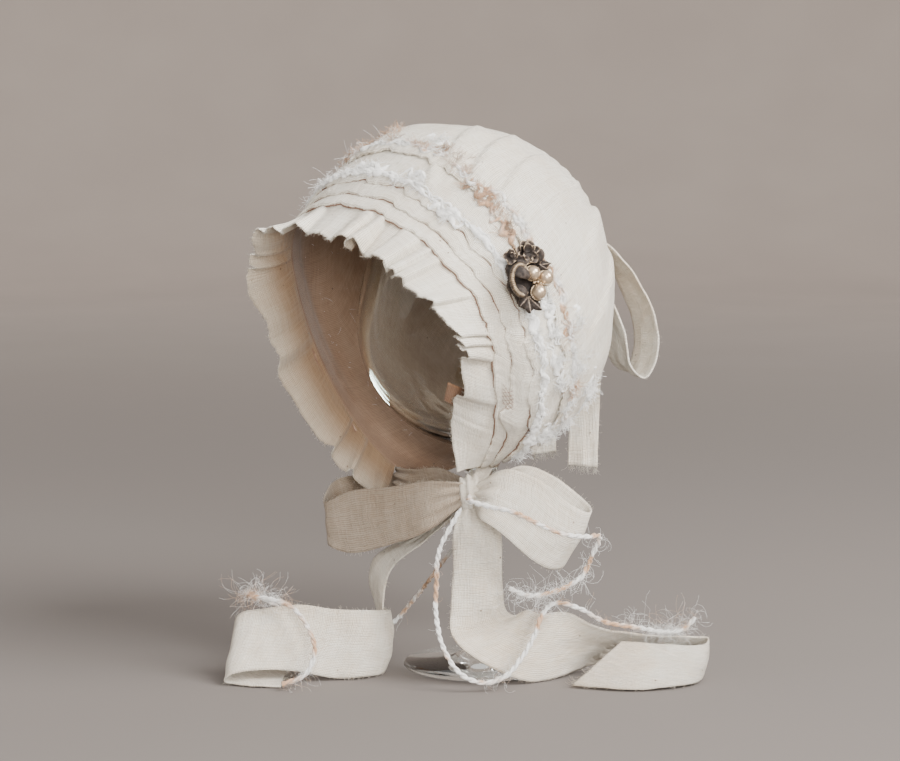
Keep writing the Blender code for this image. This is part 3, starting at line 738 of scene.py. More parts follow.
def makeStrip(name, node, start, after, folds, seed):
    first, last = bonnetShape[start], bonnetShape[after]
    profile = [(first + row, lift) for row, lift in lapProfile]
    profile += [(last, 0.6), (last + stripShape["lap"], 0.45)]
    mesh = bmesh.new()
    size = addPatch(mesh, stripShape["around"], stripShape["along"],
                    lambda a, b: stripPoint(a, b, profile, folds, seed))
    upper = max(mesh.faces, key=lambda face: (face.calc_center_median() - bonnetMiddle).length)
    if upper.normal.dot(awayFromHead(upper.calc_center_median())) < 0:
        bmesh.ops.reverse_faces(mesh, faces=mesh.faces[:])
    for face in mesh.faces:
        # faces that look into the bonnet take the second material, brown with painted shade
        face.material_index = int(face.normal.dot(awayFromHead(face.calc_center_median())) < 0)
    piece = meshObject(name, mesh, bonnetCloth, bonnetShadedInside)
    settleSheet(piece, size, stripShape["wall"], [node], "gathered", "glass_stand", True)


makeStrip("tuckFront", "tuck_front", "seam", "tuckOne", tuckFolds[1:2], frontTuck)
makeStrip("tuckBack", "tuck_back", "tuckOne", "tuckTwo", tuckFolds, backTuck)
makeStrip("frontPanel", "front_panel", "tuckTwo", "crownSeam", panelFolds, panelEdge)

# crown: the main cap, gathered to one point at the nape
crownShape = {
    "around": 290, "along": 68, "gathers": 13, "deep": 1.9, "fine": 0.4, "fineCount": 31, "lift": 0.55,
    "drape": 1.5, "drapeLength": 22.0, "wall": 0.8, "stitch": 0.25, "stitchCount": 46, "backRows": 12,
    "wander": 3.0, "wanderLength": 30.0, "shallow": 0.35, "uneven": 1.1, "unevenLength": 11.0, "loosen": 0.6,
    # rows between which the gathers grow, draw tight and get their fine folds
    "gatherRows": (5.6, 7.6), "tightRows": (7.2, 8.0), "fineRows": (6.2, 7.6),
    # rows between which the drape grows and fades, then rows behind the seam for its wander and stitches
    "drapeGrow": (3.9, 4.6), "drapeFade": (6.8, 7.8), "wanderFade": (0.3, 1.0), "stitchFade": (0.0, 1.2),
}
crownFolds = [
    (3.86, 0.085, 5.6, -0.03, 1.9, 11.0), (3.86, 0.16, 6.0, 0.06, 2.0, 11.0),
    (3.9, 0.25, 6.4, 0.16, 1.7, 13.0), (4.3, 0.36, 6.8, 0.30, 1.4, 12.0),
    (4.9, 0.51, 7.2, 0.40, 2.0, 19.0), (4.2, 0.70, 6.6, 0.58, 1.2, 12.0),
    (4.0, -0.15, 6.2, -0.22, 1.2, 14.0), (4.4, -0.40, 6.8, -0.42, 1.3, 14.0),
    (4.2, -0.68, 6.6, -0.60, 1.1, 14.0),
]


def crownProfile():
    seam, count = bonnetShape["crownSeam"], crownShape["backRows"]
    profile = [(seam + row, lift) for row, lift in lapProfile]
    return profile + [(mix(seam + 0.8, bonnetShape["gather"], k / count), 0.9) for k in range(1, count + 1)]


crownRows = crownProfile()


def crownPoint(across, along):
    shape, seam = crownShape, bonnetShape["crownSeam"]
    place = -1.0 + 2.0 * across
    row, lift = blend(crownRows, (len(crownRows) - 1) * along)
    row += edgeWander(place, crownEdge) * (1.0 - smoothStep(*shape["wanderFade"], row - seam))
    row = min(row, bonnetShape["gather"])
    point, normal = bonnetPoint(row, place), bonnetNormal(row, place)
    gather = smoothStep(*shape["gatherRows"], row)
    tight = 1.0 - shape["loosen"] * smoothStep(*shape["tightRows"], row)
    wander = shape["wander"] * ripple(point, shape["wanderLength"])
    depth = shape["shallow"] + shape["uneven"] * abs(rippleAt(place * 60, 7, 0, shape["unevenLength"]))
    fold = shape["deep"] * depth * (0.5 + 0.5 * cos(2 * pi * shape["gathers"] * place + wander))
    fine = cos(2 * pi * shape["fineCount"] * place + wander)
    fold += shape["fine"] * depth * smoothStep(*shape["fineRows"], row) * fine
    fold *= gather * tight
    edge = 1.0 - smoothStep(*shape["stitchFade"], row - seam)
    fold += shape["stitch"] * edge * cos(2 * pi * shape["stitchCount"] * place + wander)
    drape = shape["drape"] * (ripple(point, shape["drapeLength"]) * 0.7 + 0.3 * ripple(point, 9.0))
    drape *= smoothStep(*shape["drapeGrow"], row) * (1.0 - smoothStep(*shape["drapeFade"], row))
    steps = foldSteps(row, place, crownFolds) * (1.0 - gather * 0.5)
    return point + normal * (lift + shape["lift"] + fold + drape + steps)


def makeCrown():
    mesh = bmesh.new()
    size = addPatch(mesh, crownShape["around"], crownShape["along"], crownPoint, awayFromHead)
    # its inner face takes the brown of painted shade
    piece = meshObject("crownCloth", mesh, bonnetCloth, bonnetShadedInside)
    settleSheet(piece, size, crownShape["wall"], ["crown"], "gathered", "glass_stand", True)


makeCrown()

# lining: one smooth inner sheet from the frill's seam to the gather
liningShape = {
    "around": 130, "along": 40, "lift": 0.05, "wall": 0.3, "drape": 0.9, "drapeLength": 20.0, "under": 0.14,
    "cut": 0.78, "from": 0.12, "to": 0.1, "leftEnd": 0.995, "sag": 0.4,
    "underGrow": (1.1, 2.0), "underFade": (3.6, 5.2), "sagGrow": (1.2, 2.4),
}


def liningPoint(across, along):
    shape = liningShape
    row = mix(bonnetShape["seam"] + shape["from"], bonnetShape["gather"] - shape["to"], along)
    under = shape["under"] * smoothStep(*shape["underGrow"], row)
    under *= 1.0 - smoothStep(*shape["underFade"], row)
    place = mix(-1.0 - under, shape["leftEnd"], across)        # on the right it is drawn on under the glass
    point = bonnetPoint(row, place)
    sag = shape["drape"] * (1.0 + ripple(point, shape["drapeLength"])) * smoothStep(*shape["sagGrow"], row)
    return point + bonnetNormal(row, place) * (shape["lift"] - shape["sag"] * sag)


def makeLining():
    mesh = bmesh.new()
    size = addPatch(mesh, liningShape["around"], liningShape["along"], liningPoint, awayFromHead)
    area = round(size[0] * size[1] * liningShape["cut"], 4)        # cut narrower at both its ends
    # the lining's brown, darkest near its front and drawn on under the glass, is painted shade
    piece = meshObject("innerLining", mesh, capShadedInside)
    settleSheet(piece, size, liningShape["wall"], [], "gathered", "crownCloth", area=area)


makeLining()

# frill: knife pleats that lap over each other, with a raw edge; its left end is one flat folded flap
frillShape = {
    "pleats": 18, "around": 18 * 28, "deep": 18, "sharp": 0.85, "step": 3.9, "lean": 0.012, "farWave": 3.6,
    "wall": 0.6, "tucked": 0.17, "flap": 0.868, "flapLift": 0.9, "ragged": 0.045, "lift": 0.35,
    "rootLift": 0.3, "edge": 0.05, "drape": 0.8, "fray": 760, "small": 0.35, "uneven": 1.3,
    "unevenLength": 7.0,
    # the turned corner: its places beside the flap, how far out it runs, its slant, its depth and its grid
    "corner": (-0.075, -0.012), "cornerOut": (0.52, 1.20), "cornerSlant": 0.10, "cornerDeep": 0.9,
    "cornerSteps": 12,
    # place, length, outward flare in degrees
    "rows": [(-1.00, 15, 8), (-0.80, 17, 26), (-0.45, 18, 27), (-0.12, 18, 2), (0.30, 19, -3),
             (0.62, 18, 12), (0.78, 18, -6), (0.88, 18.5, -25), (0.94, 18, -16), (1.00, 16, 2)],
}


def knifePleat(turns, sharp):
    # long slope up and short return down, from -1 to 1
    part = turns - floor(turns)
    return -cos(pi * part / sharp) if part < sharp else cos(pi * (part - sharp) / (1.0 - sharp))


def frillAt(place):
    table = frillShape["rows"]
    rows = [row[1:] for row in table]
    for index in range(len(table) - 1):
        low, high = table[index][0], table[index + 1][0]
        if place <= high:
            return blend(rows, index + (place - low) / (high - low))
    return rows[-1]


def frillPoint(across, along):
    shape, seam = frillShape, bonnetShape["seam"]
    out = along * (1.0 + shape["tucked"]) - shape["tucked"]
    place = -1.0 + 2.0 * across
    if out < 0.0:
        return raised(seam - out, place, shape["rootLift"])
    flat = 1.0 - smoothStep(shape["flap"] - 0.035, shape["flap"], place)
    ragged = rippleAt(place * 220, 0, 0, 1.3) + 1.6 * rippleAt(place * 40, 5, 0, 1.6)
    length, flare = frillAt(place)
    length *= 1.0 + shape["ragged"] * ragged * (0.3 + 0.7 * flat) * smoothStep(0.5, 1.0, out)
    turns = shape["pleats"] * (place + 1.0) / 2 + 1.3 * rippleAt(place * 60, 3, 0, 8.0)
    size = shape["small"] + shape["uneven"] * abs(rippleAt(place * 60, 9, 0, shape["unevenLength"]))
    length *= 1.0 + shape["edge"] * flat * size * knifePleat(turns + 0.15, 0.7) * out
    shift = shape["lean"] * flat * size * out ** 0.7 * cos(2 * pi * turns)
    moved = min(max(place + shift, -1.0), 1.0)
    root = bonnetPoint(seam, moved)
    normal = bonnetNormal(seam, moved)
    forward = (bonnetPoint(seam - 0.3, moved) - bonnetPoint(seam + 0.3, moved)).normalized()
    flare = radians(flare) * out
    centre = root + forward * (length * out * cos(flare * 0.5)) + normal * (length * out * sin(flare))
    wave = shape["step"] * size * (0.25 + 0.75 * out) * flat * knifePleat(turns, shape["sharp"])
    wave += shape["farWave"] * smoothStep(0.25, -0.25, place) * out * rippleAt(place * 60, 21, 0, 6.0)
    wave += shape["drape"] * out * ripple(centre, 9.0)
    wave += shape["flapLift"] * smoothStep(shape["flap"], shape["flap"] + 0.006, place)
    return centre + normal * (wave + shape["lift"])


def turnBackPoint(across, along):
    # the small corner beside the flap that shows its underside, dark brown with painted shade
    shape, seam = frillShape, bonnetShape["seam"]
    place = mix(*(shape["flap"] + side for side in shape["corner"]), across)
    near, far = shape["cornerOut"]
    out = mix(near, far - shape["cornerSlant"] * across, along)
    length, flare = frillAt(place)
    forward = (bonnetPoint(seam - 0.3, place) - bonnetPoint(seam + 0.3, place)).normalized()
    flare, reach = radians(flare) * out, length * out
    rise = reach * sin(flare) - shape["step"] * shape["cornerDeep"]
    return bonnetPoint(seam, place) + forward * (reach * cos(flare * 0.5)) + bonnetNormal(seam, place) * rise


def makeFrill():
    shape, mesh, corner = frillShape, bmesh.new(), bmesh.new()
    size = addPatch(mesh, shape["around"], shape["deep"], frillPoint, awayFromHead)
    # the frill's inner face takes the darker brown of painted shade
    piece = meshObject("frillCloth", mesh, bonnetCloth, frillShadedInside)
    settleSheet(piece, size, shape["wall"], ["frill"], "gathered", "tuckFront", True)
    addFray(71, shape["fray"], frillPoint, lambda part: (part, 1.0), lambda part: (part, 0.94), 0.8)
    size = addPatch(corner, shape["cornerSteps"], shape["cornerSteps"], turnBackPoint, awayFromHead)
    # painted shade on the corner's underside
    piece = meshObject("frillTurnBack", corner, shadedCorner)
    settleSheet(piece, size, shape["wall"], [], "folded", "frillCloth", digits=4)


makeFrill()
print("bonnet cloth made")

# seams: a brown twisted thread in the crease before each folded edge, with small overcast loops
seamShape = {
    "radius": 0.17, "step": 2.1, "loopRadius": 0.12, "loop": 1.15, "reach": 0.985, "count": 420,
    "thread": {"plies": 2, "offset": 0.18, "twist": 1.6},
    # points of one overcast stitch: across the seam, out of the cloth and along the seam
    "stitch": [(-0.3, -0.3, 0.0), (0.0, 0.35, 0.4), (0.7, 0.45, 0.8), (1.0, -0.2, 1.0)],
    # row, seed of its folded edge, lift, how far ahead of the fold in rows, overcast or not
    "lines": [(1.0, frontTuck, 0.85, 0.07, True), (2.0, backTuck, 1.0, 0.08, True),
              (3.0, panelEdge, 1.0, 0.045, False)],
    # threads that cross over the place where the back tuck curls forward: place and reach in rows
    "crosses": [(0.742, 0.30), (0.752, 0.34), (0.762, 0.36), (0.772, 0.36), (0.784, 0.34)],
    "crossRow": 1.62, "crossSlant": 0.010, "crossLifts": (2.5, 3.2, 2.7), "crossRadius": 0.09,
}


def seamLine(start, seed, lift, ahead):
    points = []
    for k in range(seamShape["count"] + 1):
        place = (-1.0 + 2.0 * k / seamShape["count"]) * seamShape["reach"]
        points.append(raised(start + edgeWander(place, seed) - ahead, place, lift))
    return points


def overcast(points, seed):
    rng = Random(seed)
    runs, length = [], 0.0
    for before, middle, after in zip(points, points[1:], points[2:]):
        length += (middle - before).length
        if length < seamShape["step"]:
            continue
        length -= seamShape["step"] * rng.uniform(0.7, 1.2)
        tangent = (after - before).normalized()
        normal = (middle - bonnetMiddle / mm).normalized()
        side = normal.cross(tangent).normalized()
        reach = seamShape["loop"] * rng.uniform(0.6, 1.15)
        slant = tangent * rng.uniform(0.2, 0.9)
        runs.append([middle + side * reach * across + normal * out + slant * along
                     for across, out, along in seamShape["stitch"]])
    return runs


def crossStitches():
    row, slant = seamShape["crossRow"], seamShape["crossSlant"]
    runs = []
    for place, reach in seamShape["crosses"]:
        for way in (-1, 1):
            ends = [(row - way * reach, place - slant), (row, place), (row + way * reach, place + slant)]
            runs.append([raised(*end, lift) for end, lift in zip(ends, seamShape["crossLifts"])])
    return runs


def makeSeams():
    plies, loops = [], []
    for index, (start, seed, lift, ahead, sewn) in enumerate(seamShape["lines"]):
        line = seamLine(start, seed, lift, ahead)
        plies += twistedRuns(line, seamShape["thread"], 40 + index)[0]
        if sewn:
            loops += overcast(line, seed)
    settle(curveObject("seamThreads", plies, seamShape["radius"], sewingThread), "cloth")
    settle(curveObject("overcastStitches", loops, seamShape["loopRadius"], sewingThread), "cloth")
    settle(curveObject("crossStitches", crossStitches(), seamShape["crossRadius"], sewingThread, 1), "cloth")


makeSeams()
print("seams sewn")

# wool laid on the panel and on the crown's seam: soft uneven roving with a cloud of fine fibres
trimShape = {
    "front": {"row": 3.24, "sway": 0.12, "lift": 2.6, "seed": 51, "swell": 1.5, "node": "wool_trim_front"},
    "back": {"row": 4.06, "sway": 0.14, "lift": 2.9, "seed": 52, "swell": 1.1, "node": "wool_trim_back"},
    "reach": 0.985, "steps": 380, "core": 0.60, "plies": 5, "spread": 2.1,
    "down": {"count": 8, "points": 3, "length": 3.6, "spread": 1.0, "rise": 0.15, "core": 2.7, "flat": 0.7,
             "curl": 1.1, "radius": 0.075},
    "wisps": {"count": 1, "points": 6, "length": 8.5, "spread": 1.0, "rise": 0.4, "core": 1.5, "flat": 0.5,
              "curl": 0.5, "radius": 0.04},
}


def alongRows(row, place):
    return (bonnetPoint(row + 0.1, place) - bonnetPoint(row - 0.1, place)).normalized()


def trimLine(trim):
    # point, way out of the cloth, way along the bonnet's rows
    line = []
    for k in range(trimShape["steps"] + 1):
        place = (-1.0 + 2.0 * k / trimShape["steps"]) * trimShape["reach"]
        row = trim["row"] + trim["sway"] * rippleAt(place * 150, trim["seed"], 0, 14.0)
        line.append((raised(row, place, trim["lift"]), bonnetNormal(row, place), alongRows(row, place)))
    return line


rovingLook = {
    "stray": 1.6, "strayLength": 4.5, "rise": 0.4, "riseLength": 5.0, "plySpacing": 37,
    "puff": 0.55, "puffFrom": (0.0, 0.45), "puffLength": 5.0, "thin": 0.25, "ends": 0.05,
    "lumps": [(0.36, 0.9), (0.26, 2.4)],        # height and number to the millimetre
}


def rovingRuns(line, plies, spread, swell, seed):
    # loose plies that stray sideways and swell, thin at both ends
    look = rovingLook
    runs, radii = [], []
    for ply in range(plies):
        run, sizes = [], []
        for index, (point, normal, along) in enumerate(line):
            spot = point + Vector((ply * look["plySpacing"], seed, 0))
            stray = along * ripple(spot, look["strayLength"]) * spread * look["stray"]
            stray += normal * ripple(spot + Vector((0, 50, 0)), look["riseLength"]) * spread * look["rise"]
            end = min(index, len(line) - 1 - index) / len(line)
            lump = ripple(point + Vector((9, seed + ply * 3, 0)), look["puffLength"])
            puff = look["puff"] + swell * smoothStep(*look["puffFrom"], lump)
            run.append(point + stray)
            sizes.append(puff * mix(look["thin"], 1.0, smoothStep(0.0, look["ends"], end)))
        runs.append(run)
        radii.append(sizes)
    return runs, radii


def cottonMesh(name, runs, radii, radius, material):
    piece = curveToMesh(curveObject(name, runs, radius, material, 1, radii))
    for vert in piece.data.vertices:
        point = vert.co / mm
        rough = sum(height * noise.noise(point * scale) for height, scale in rovingLook["lumps"])
        vert.co += vert.normal * rough * mm
    return piece


def makeFluff(name, anchors, look, seed, material, slotName):
    # anchors: point, outward way, how much fluff is there
    rng = Random(seed)
    runs = []
    for point, outward, share in anchors:
        for _ in range(int(look["count"] * share + rng.random())):
            way = (randomDirection(rng) * look["spread"] + outward * look["rise"]).normalized()
            stray = randomDirection(rng) * look["core"] * rng.random() ** 0.5
            start = point + stray - outward * stray.dot(outward) * look["flat"]
            length = look["length"] * rng.uniform(0.35, 1.25)
            runs.append(hair(rng, start, way, length, look["curl"], look["points"]))
    print(name, len(runs), "fibres")
    settle(curveObject(name, runs, look["radius"], material), slotName)


def makeTrim(name, trim, core, slotName):
    line = trimLine(trim)
    runs, radii = rovingRuns(line, trimShape["plies"], trimShape["spread"], trim["swell"], trim["seed"])
    settle(cottonMesh(name, runs, radii, trimShape["core"], core), slotName, trim["node"])
    anchors = []
    for point, normal, _ in line:
        puff = 0.3 + 1.4 * smoothStep(-0.1, 0.4, ripple(point + Vector((9, trim["seed"], 0)), 6.0))
        anchors.append((point, normal, puff))
    makeFluff(name + "Down", anchors, trimShape["down"], trim["seed"] + 9, core, slotName)
    makeFluff(name + "Wisps", anchors, trimShape["wisps"], trim["seed"] + 9, whiteWool, slotName)


makeTrim("trimFront", trimShape["front"], whiteWool, "white_wool")
makeTrim("trimBack", trimShape["back"], mixedWool, "peach_wool")

# tufts: row, place, reach in millimetres; tan and peach ones on the top, white lumps down the left side
tuftShape = {
    "warm": [(4.25, -0.22, 7.0), (4.50, -0.17, 6.5), (4.35, -0.27, 5.5), (4.30, -0.12, 4.0),
             (4.22, 0.055, 3.0), (4.12, 0.095, 3.6), (4.02, 0.145, 3.6), (3.92, 0.21, 2.6),
             (3.86, 0.265, 2.8), (3.78, 0.315, 2.4), (4.10, 0.78, 2.2), (4.05, 0.62, 2.0),
             (4.40, -0.32, 4.0)],
    "white": [(3.22, 0.50, 2.6), (3.75, 0.505, 2.2), (3.72, 0.58, 2.6), (3.60, 0.66, 2.4), (4.35, 0.62, 2.4),
              (3.80, 0.73, 2.8), (4.30, 0.74, 3.0), (4.05, 0.83, 2.6), (4.60, 0.84, 3.4), (3.65, 0.90, 2.8),
              (3.95, 0.93, 3.2), (4.30, 0.93, 3.4), (4.70, 0.95, 3.0), (3.35, 0.96, 2.2), (3.40, 0.04, 2.4),
              (3.35, -0.10, 2.6), (3.05, 0.17, 2.2), (4.35, 0.00, 2.4)],
    "down": {"count": 115, "points": 4, "length": 4.4, "spread": 1.0, "rise": 0.25, "core": 2.2, "flat": 0.6,
             "curl": 1.1, "radius": 0.075},
    "lift": 2.6, "slub": 0.6, "slubLength": 0.055, "slubLift": 2.2, "steps": 30, "plies": 3, "spread": 1.2,
    # clumps of down on each tuft: how many, their reach in places and rows, the reach of a full one
    "swell": 1.5, "clumps": 6, "clumpPlace": 0.006, "clumpRow": 0.05, "fullReach": 15.0,
}


def slubLine(row, place, seed):
    # a short piece of roving that wanders over the cloth
    line = []
    for k in range(tuftShape["steps"] + 1):
        part = k / tuftShape["steps"] - 0.5
        at = place + part * tuftShape["slubLength"] * 2
        spot = row + 0.22 * rippleAt(part * 40, seed, row * 9, 7.0)
        normal = bonnetNormal(spot, at)
        point = bonnetPoint(spot, min(at, 0.99)) + normal * tuftShape["slubLift"]
        line.append((point, normal, alongRows(spot, at)))
    return line


def makeTufts(name, rows, material, slotName, seed):
    shape, last = tuftShape, tuftShape["steps"]
    anchors, runs, radii = [], [], []
    for index, (row, place, reach) in enumerate(rows):
        line = slubLine(row, place, seed + index)
        made, sizes = rovingRuns(line, shape["plies"], shape["spread"], shape["swell"], seed + index)
        runs += made
        for line in sizes:
            radii.append([size * min(1.0, 0.2 + 5 * min(k, last - k) / last) for k, size in enumerate(line)])
        rng = Random(seed + index)
        for _ in range(shape["clumps"]):
            at = min(place + rng.uniform(-1, 1) * reach * shape["clumpPlace"], 0.99)
            spot = row + rng.uniform(-1, 1) * reach * shape["clumpRow"]
            share = reach / shape["fullReach"]
            anchors.append((raised(spot, at, shape["lift"]), bonnetNormal(spot, at), share))
    settle(cottonMesh(name, runs, radii, shape["slub"], material), slotName)
    makeFluff(name + "Down", anchors, shape["down"], seed, material, slotName)


makeTufts("warmTufts", tuftShape["warm"], tanWool, "peach_wool", 300)
makeTufts("whiteTufts", tuftShape["white"], whiteWool, "white_wool", 400)

# down round the loose strands: where along the strand, how wide, how thick and how long
strandDown = {
    "radius": 0.036, "points": 8, "curl": 1.7,
    "strandLoopDown": (loopPath, whiteWool, 61, [(0.15, 0.2, 2, 4.0), (0.5, 0.2, 2, 5.0),
                                                 (0.85, 0.25, 9, 7.0)]),
    "strandLeftDown": (leftPath, mixedWool, 62, [(0.1, 0.2, 1, 3.0), (0.45, 0.08, 5, 5.0),
                                                 (0.62, 0.08, 9, 6.0), (0.78, 0.05, 4, 5.0),
                                                 (0.93, 0.12, 14, 8.5)]),
    "strandRightDown": (rightPath, warmWool, 63, [(0.35, 0.3, 1, 4.0), (0.56, 0.06, 14, 8.0),
                                                  (0.66, 0.08, 12, 7.5), (0.92, 0.14, 6, 6.0)]),
}


def makeStrandDown(name):
    path, material, seed, tufts = strandDown[name]
    rng = Random(seed)
    runs = []
    for index, point in enumerate(path):
        part = index / len(path)
        for centre, reach, count, length in tufts:
            near = max(0.0, 1.0 - abs(part - centre) / reach)
            for _ in range(int(count * near + rng.random())):
                way = (randomDirection(rng) + Vector((0, 0, 0.2))).normalized()
                start = aboveFloor(point + randomDirection(rng) * rng.uniform(0.3, 1.8), 0.3)
                size = length * (0.4 + 2.0 * rng.random() ** 1.8)
                runs.append(hair(rng, start, way, size, strandDown["curl"], strandDown["points"]))
    settle(curveObject(name, runs, strandDown["radius"], material), "white_wool")
    print(name, len(runs), "fibres")


for name in ("strandLoopDown", "strandLeftDown", "strandRightDown"):
    makeStrandDown(name)

# ribbons: one edge x, y, z, other edge x, y, z, belly of the middle, in the turned axes
ribbonShape = {
    "wall": 0.7, "across": 22, "perRing": 15, "crease": 0.55, "ragged": 0.35, "knot": 0.9,
    "fray": 700, "tornEnd": 90,        # loose threads in a metre of edge, and across a cut end
    "shaded": ("tie_loop_right", "tie_strap_right"),        # painted shade: browner than the rest
    "knotFade": (0.2, 1.6), "knotWaves": 3.2, "knotSmall": 0.5, "wide": (3.0, 14.0), "leastWidth": 4.0,
    "raggedPlace": 170, "raggedLength": 1.0, "creasePlace": 9.0, "creaseLength": 5.5, "soft": 0.6,
    "softLength": 6.0, "reach": 0.15, "tornLength": 2.2,
}
tieRows = {
    "tie_strap_right": [
        (-37, 22.5, 82, -38, 17.5, 72, 0), (-28, 4, 84, -29, 3, 69, 1),
        (-18, -12, 87, -18, -11, 74, 1), (-7, -27, 85, -7, -27, 77, 0),
    ],
    "tie_strap_left": [
        (0, -22, 95, 7, -16, 95, 0), (-1, -24, 90, 6, -19, 90, 0),
        (-3, -27, 85, 3, -23, 85, 0), (-5, -30, 79, 0, -28, 79, 0),
    ],
    "tie_loop_left": [
        (-2, -34, 84, -3, -34, 75, 0), (10, -43, 91, 0, -46, 71, 1), (24, -45, 87, 8, -49, 66, 1),
        (35, -44, 78, 19, -48, 56, 0), (43, -40, 73, 28, -44, 50, -1), (46, -34, 73, 34, -37, 50, -1),
        (41, -28, 78, 29, -30, 56, 0), (30, -26, 86, 17, -28, 65, 0), (17, -26, 90, 6, -28, 72, 0),
        (1, -29, 84, 0, -29, 76, 0),
    ],
    "tie_loop_right": [
        (-7, -34, 84, -7, -34, 75, 0), (-21, -29, 84, -22, -30, 63, 1), (-38, -13, 79, -37, -15, 55, 1),
        (-55, 3, 75, -55, 2, 48, 0), (-68, 16, 68, -66, 14, 50, 0), (-63, 30, 76, -60, 28, 54, 0),
        (-43, 32, 78, -40, 30, 57, 0), (-24, 13, 79, -22, 13, 62, 0), (-9, -12, 80, -9, -12, 70, 0),
        (-5, -27, 79, -5, -27, 72, 0),
    ],
    "tie_tail_left": [
        (-7, -33, 76, 0, -33, 76, 0), (-11, -36, 64, 8, -34, 64, 3), (-11, -37, 49, 9, -34, 48, 3),
        (-12, -40, 34, 10, -34, 33, 2), (-11, -44, 21, 14, -32, 28, -2), (2, -43, 10, 20, -30, 30, -2),
        (20, -36, 1, 25, -28, 28, 0), (34, -26, 1, 37, -26, 28, 0), (48, -13, 3, 49, -27, 22, 0),
        (63, -8, 3, 64, -25, 19, 0), (80, -7, 3, 82, -22, 17, 0), (93, -15, 1, 95, -22, 17, -1),
        (90, -36, 1, 93, -28, 15, -1), (76, -46, 1, 80, -29, 15, 0), (60, -49, 1, 69, -31, 16, 0),
        (38, -43, 1, 59, -31, 17, 0),
    ],
    "tie_tail_right": [
        (-6, -30, 73, -7, -27, 72, 0), (-22, -20, 58, -26, -9, 59, 0), (-38, -4, 42, -45, 6, 46, 0),
        (-42, -4, 24, -48, 12, 32, 0), (-41, -6, 9, -42, 13, 22, -1), (-40, -17, 1, -39, -2, 24, -2),
        (-48, -28, 1, -46, -22, 28, -1), (-61, -31, 1, -61, -25, 29, 0), (-76, -36, 5, -75, -26, 31, 0),
        (-91, -42, 7, -90, -29, 30, 0), (-103, -43, 5, -101, -28, 27, 0), (-105, -40, 1, -103, -20, 14, 0),
        (-94, -44, 1, -92, -17, 4, 0), (-82, -45, 1, -82, -17, 2, 0),
    ],
}
# the bow at the nape, rows counted from its knot
napeRows = {
    "nape_loop_left": [
        (3, -4, 4, 1, 4, 4, 0), (17, -10, -2, 11, 8, -1, 0), (29, -13, -16, 20, 6, -15, 0),
        (37, -15, -33, 27, 4, -32, 0), (38, -15, -48, 29, 4, -47, 0), (33, -15, -59, 25, 4, -57, 0),
        (26, -15, -54, 18, 4, -52, 0), (23, -15, -39, 15, 4, -38, 0), (15, -12, -20, 9, 5, -19, 0),
        (3, -3, -2, 2, 3, -2, 0),
    ],
    "nape_loop_right": [
        (-3, -1, 4, -1, 5, 4, 0), (-13, 12, 2, -13, 24, 0, 0), (-26, 24, -8, -28, 38, -11, 0),
        (-37, 31, -24, -40, 45, -28, 0), (-42, 33, -38, -45, 47, -43, 0), (-37, 31, -47, -40, 45, -51, 0),
        (-28, 27, -38, -31, 41, -42, 0), (-19, 20, -23, -21, 34, -26, 0), (-3, 1, -2, -2, 6, -2, 0),
    ],
    "nape_tail_left": [
        (0, 3, -3, 2, 4, -3, 0), (1, 9, -14, 6, 10, -14, 0), (1, 12, -32, 13, 11, -32, 1),
        (1, 8, -54, 14, 6, -54, 1), (0, 1, -78, 13, -2, -78, 1), (-1, -6, -99, 12, -9, -100, 0),
    ],
    "nape_tail_right": [
        (-2.5, 5, -4, -1, 6, -4, 0), (-7, 16, -15, -1, 17, -15, 0), (-16, 19, -32, -4, 21, -31, 1),
        (-18, 18, -56, -5, 19, -55, 1), (-18, 11, -80, -6, 9, -79, 1), (-17, 4, -96, -6, 2, -94, 0),
    ],
}
knotShape = {
    "around": 80, "rings": 48, "flat": (0.012, 0.016),
    "tie": Vector((-4, -31, 79)), "tieSizes": (6.5, 6.0, 10.0),
    "nape": toLay(pose @ Vector((0, 68.4, -16))), "napeSizes": (6.5, 6.0, 7.0),
    # how the cloth winds round, how deep its folds are and how far its ends draw in
    "wind": 5.5, "slant": 1.2, "stray": 0.6, "fold": 0.07, "lump": 0.05, "sink": 0.09,
    "pinch": 0.16, "pinchFrom": (0.5, 1.0),
}


def ribbonRing(rows, start, place):
    # middle of the ribbon, way across it and its belly
    row = blend(rows, place)
    first, second = lay(*(Vector(row[0:3]) + start)), lay(*(Vector(row[3:6]) + start))
    return (first + second) / 2, second - first, row[6]


def ribbonPoint(rows, start, across, along, kind, seed):
    shape, last = ribbonShape, len(rows) - 1
    place = last * along
    centre, width, belly = ribbonRing(rows, start, place)
    before = ribbonRing(rows, start, max(place - shape["reach"], 0))[0]
    after = ribbonRing(rows, start, min(place + shape["reach"], last))[0]
    normal = (after - before).cross(width).normalized()
    side = across * 2.0 - 1.0
    knotted = 1.0 - smoothStep(*shape["knotFade"], place)
    if kind == "loop":
        knotted += 1.0 - smoothStep(*shape["knotFade"], last - place)
    edge = shape["ragged"] * rippleAt(along * shape["raggedPlace"], seed, side * 3, shape["raggedLength"])
    point = centre + width * (side / 2) * (1.0 + edge / max(width.length, shape["leastWidth"]))
    wide = mix(shape["knotSmall"], 1.0, smoothStep(*shape["wide"], width.length))
    crease = shape["knot"] * knotted * wide * cos(shape["knotWaves"] * pi * side + seed)
    step = shape["creasePlace"]
    crease += shape["crease"] * rippleAt(side * step, place * step, seed * 3, shape["creaseLength"])
    crease += shape["crease"] * shape["soft"] * ripple(point, shape["softLength"])
    return aboveFloor(point + normal * (belly * (1.0 - side * side) + crease))


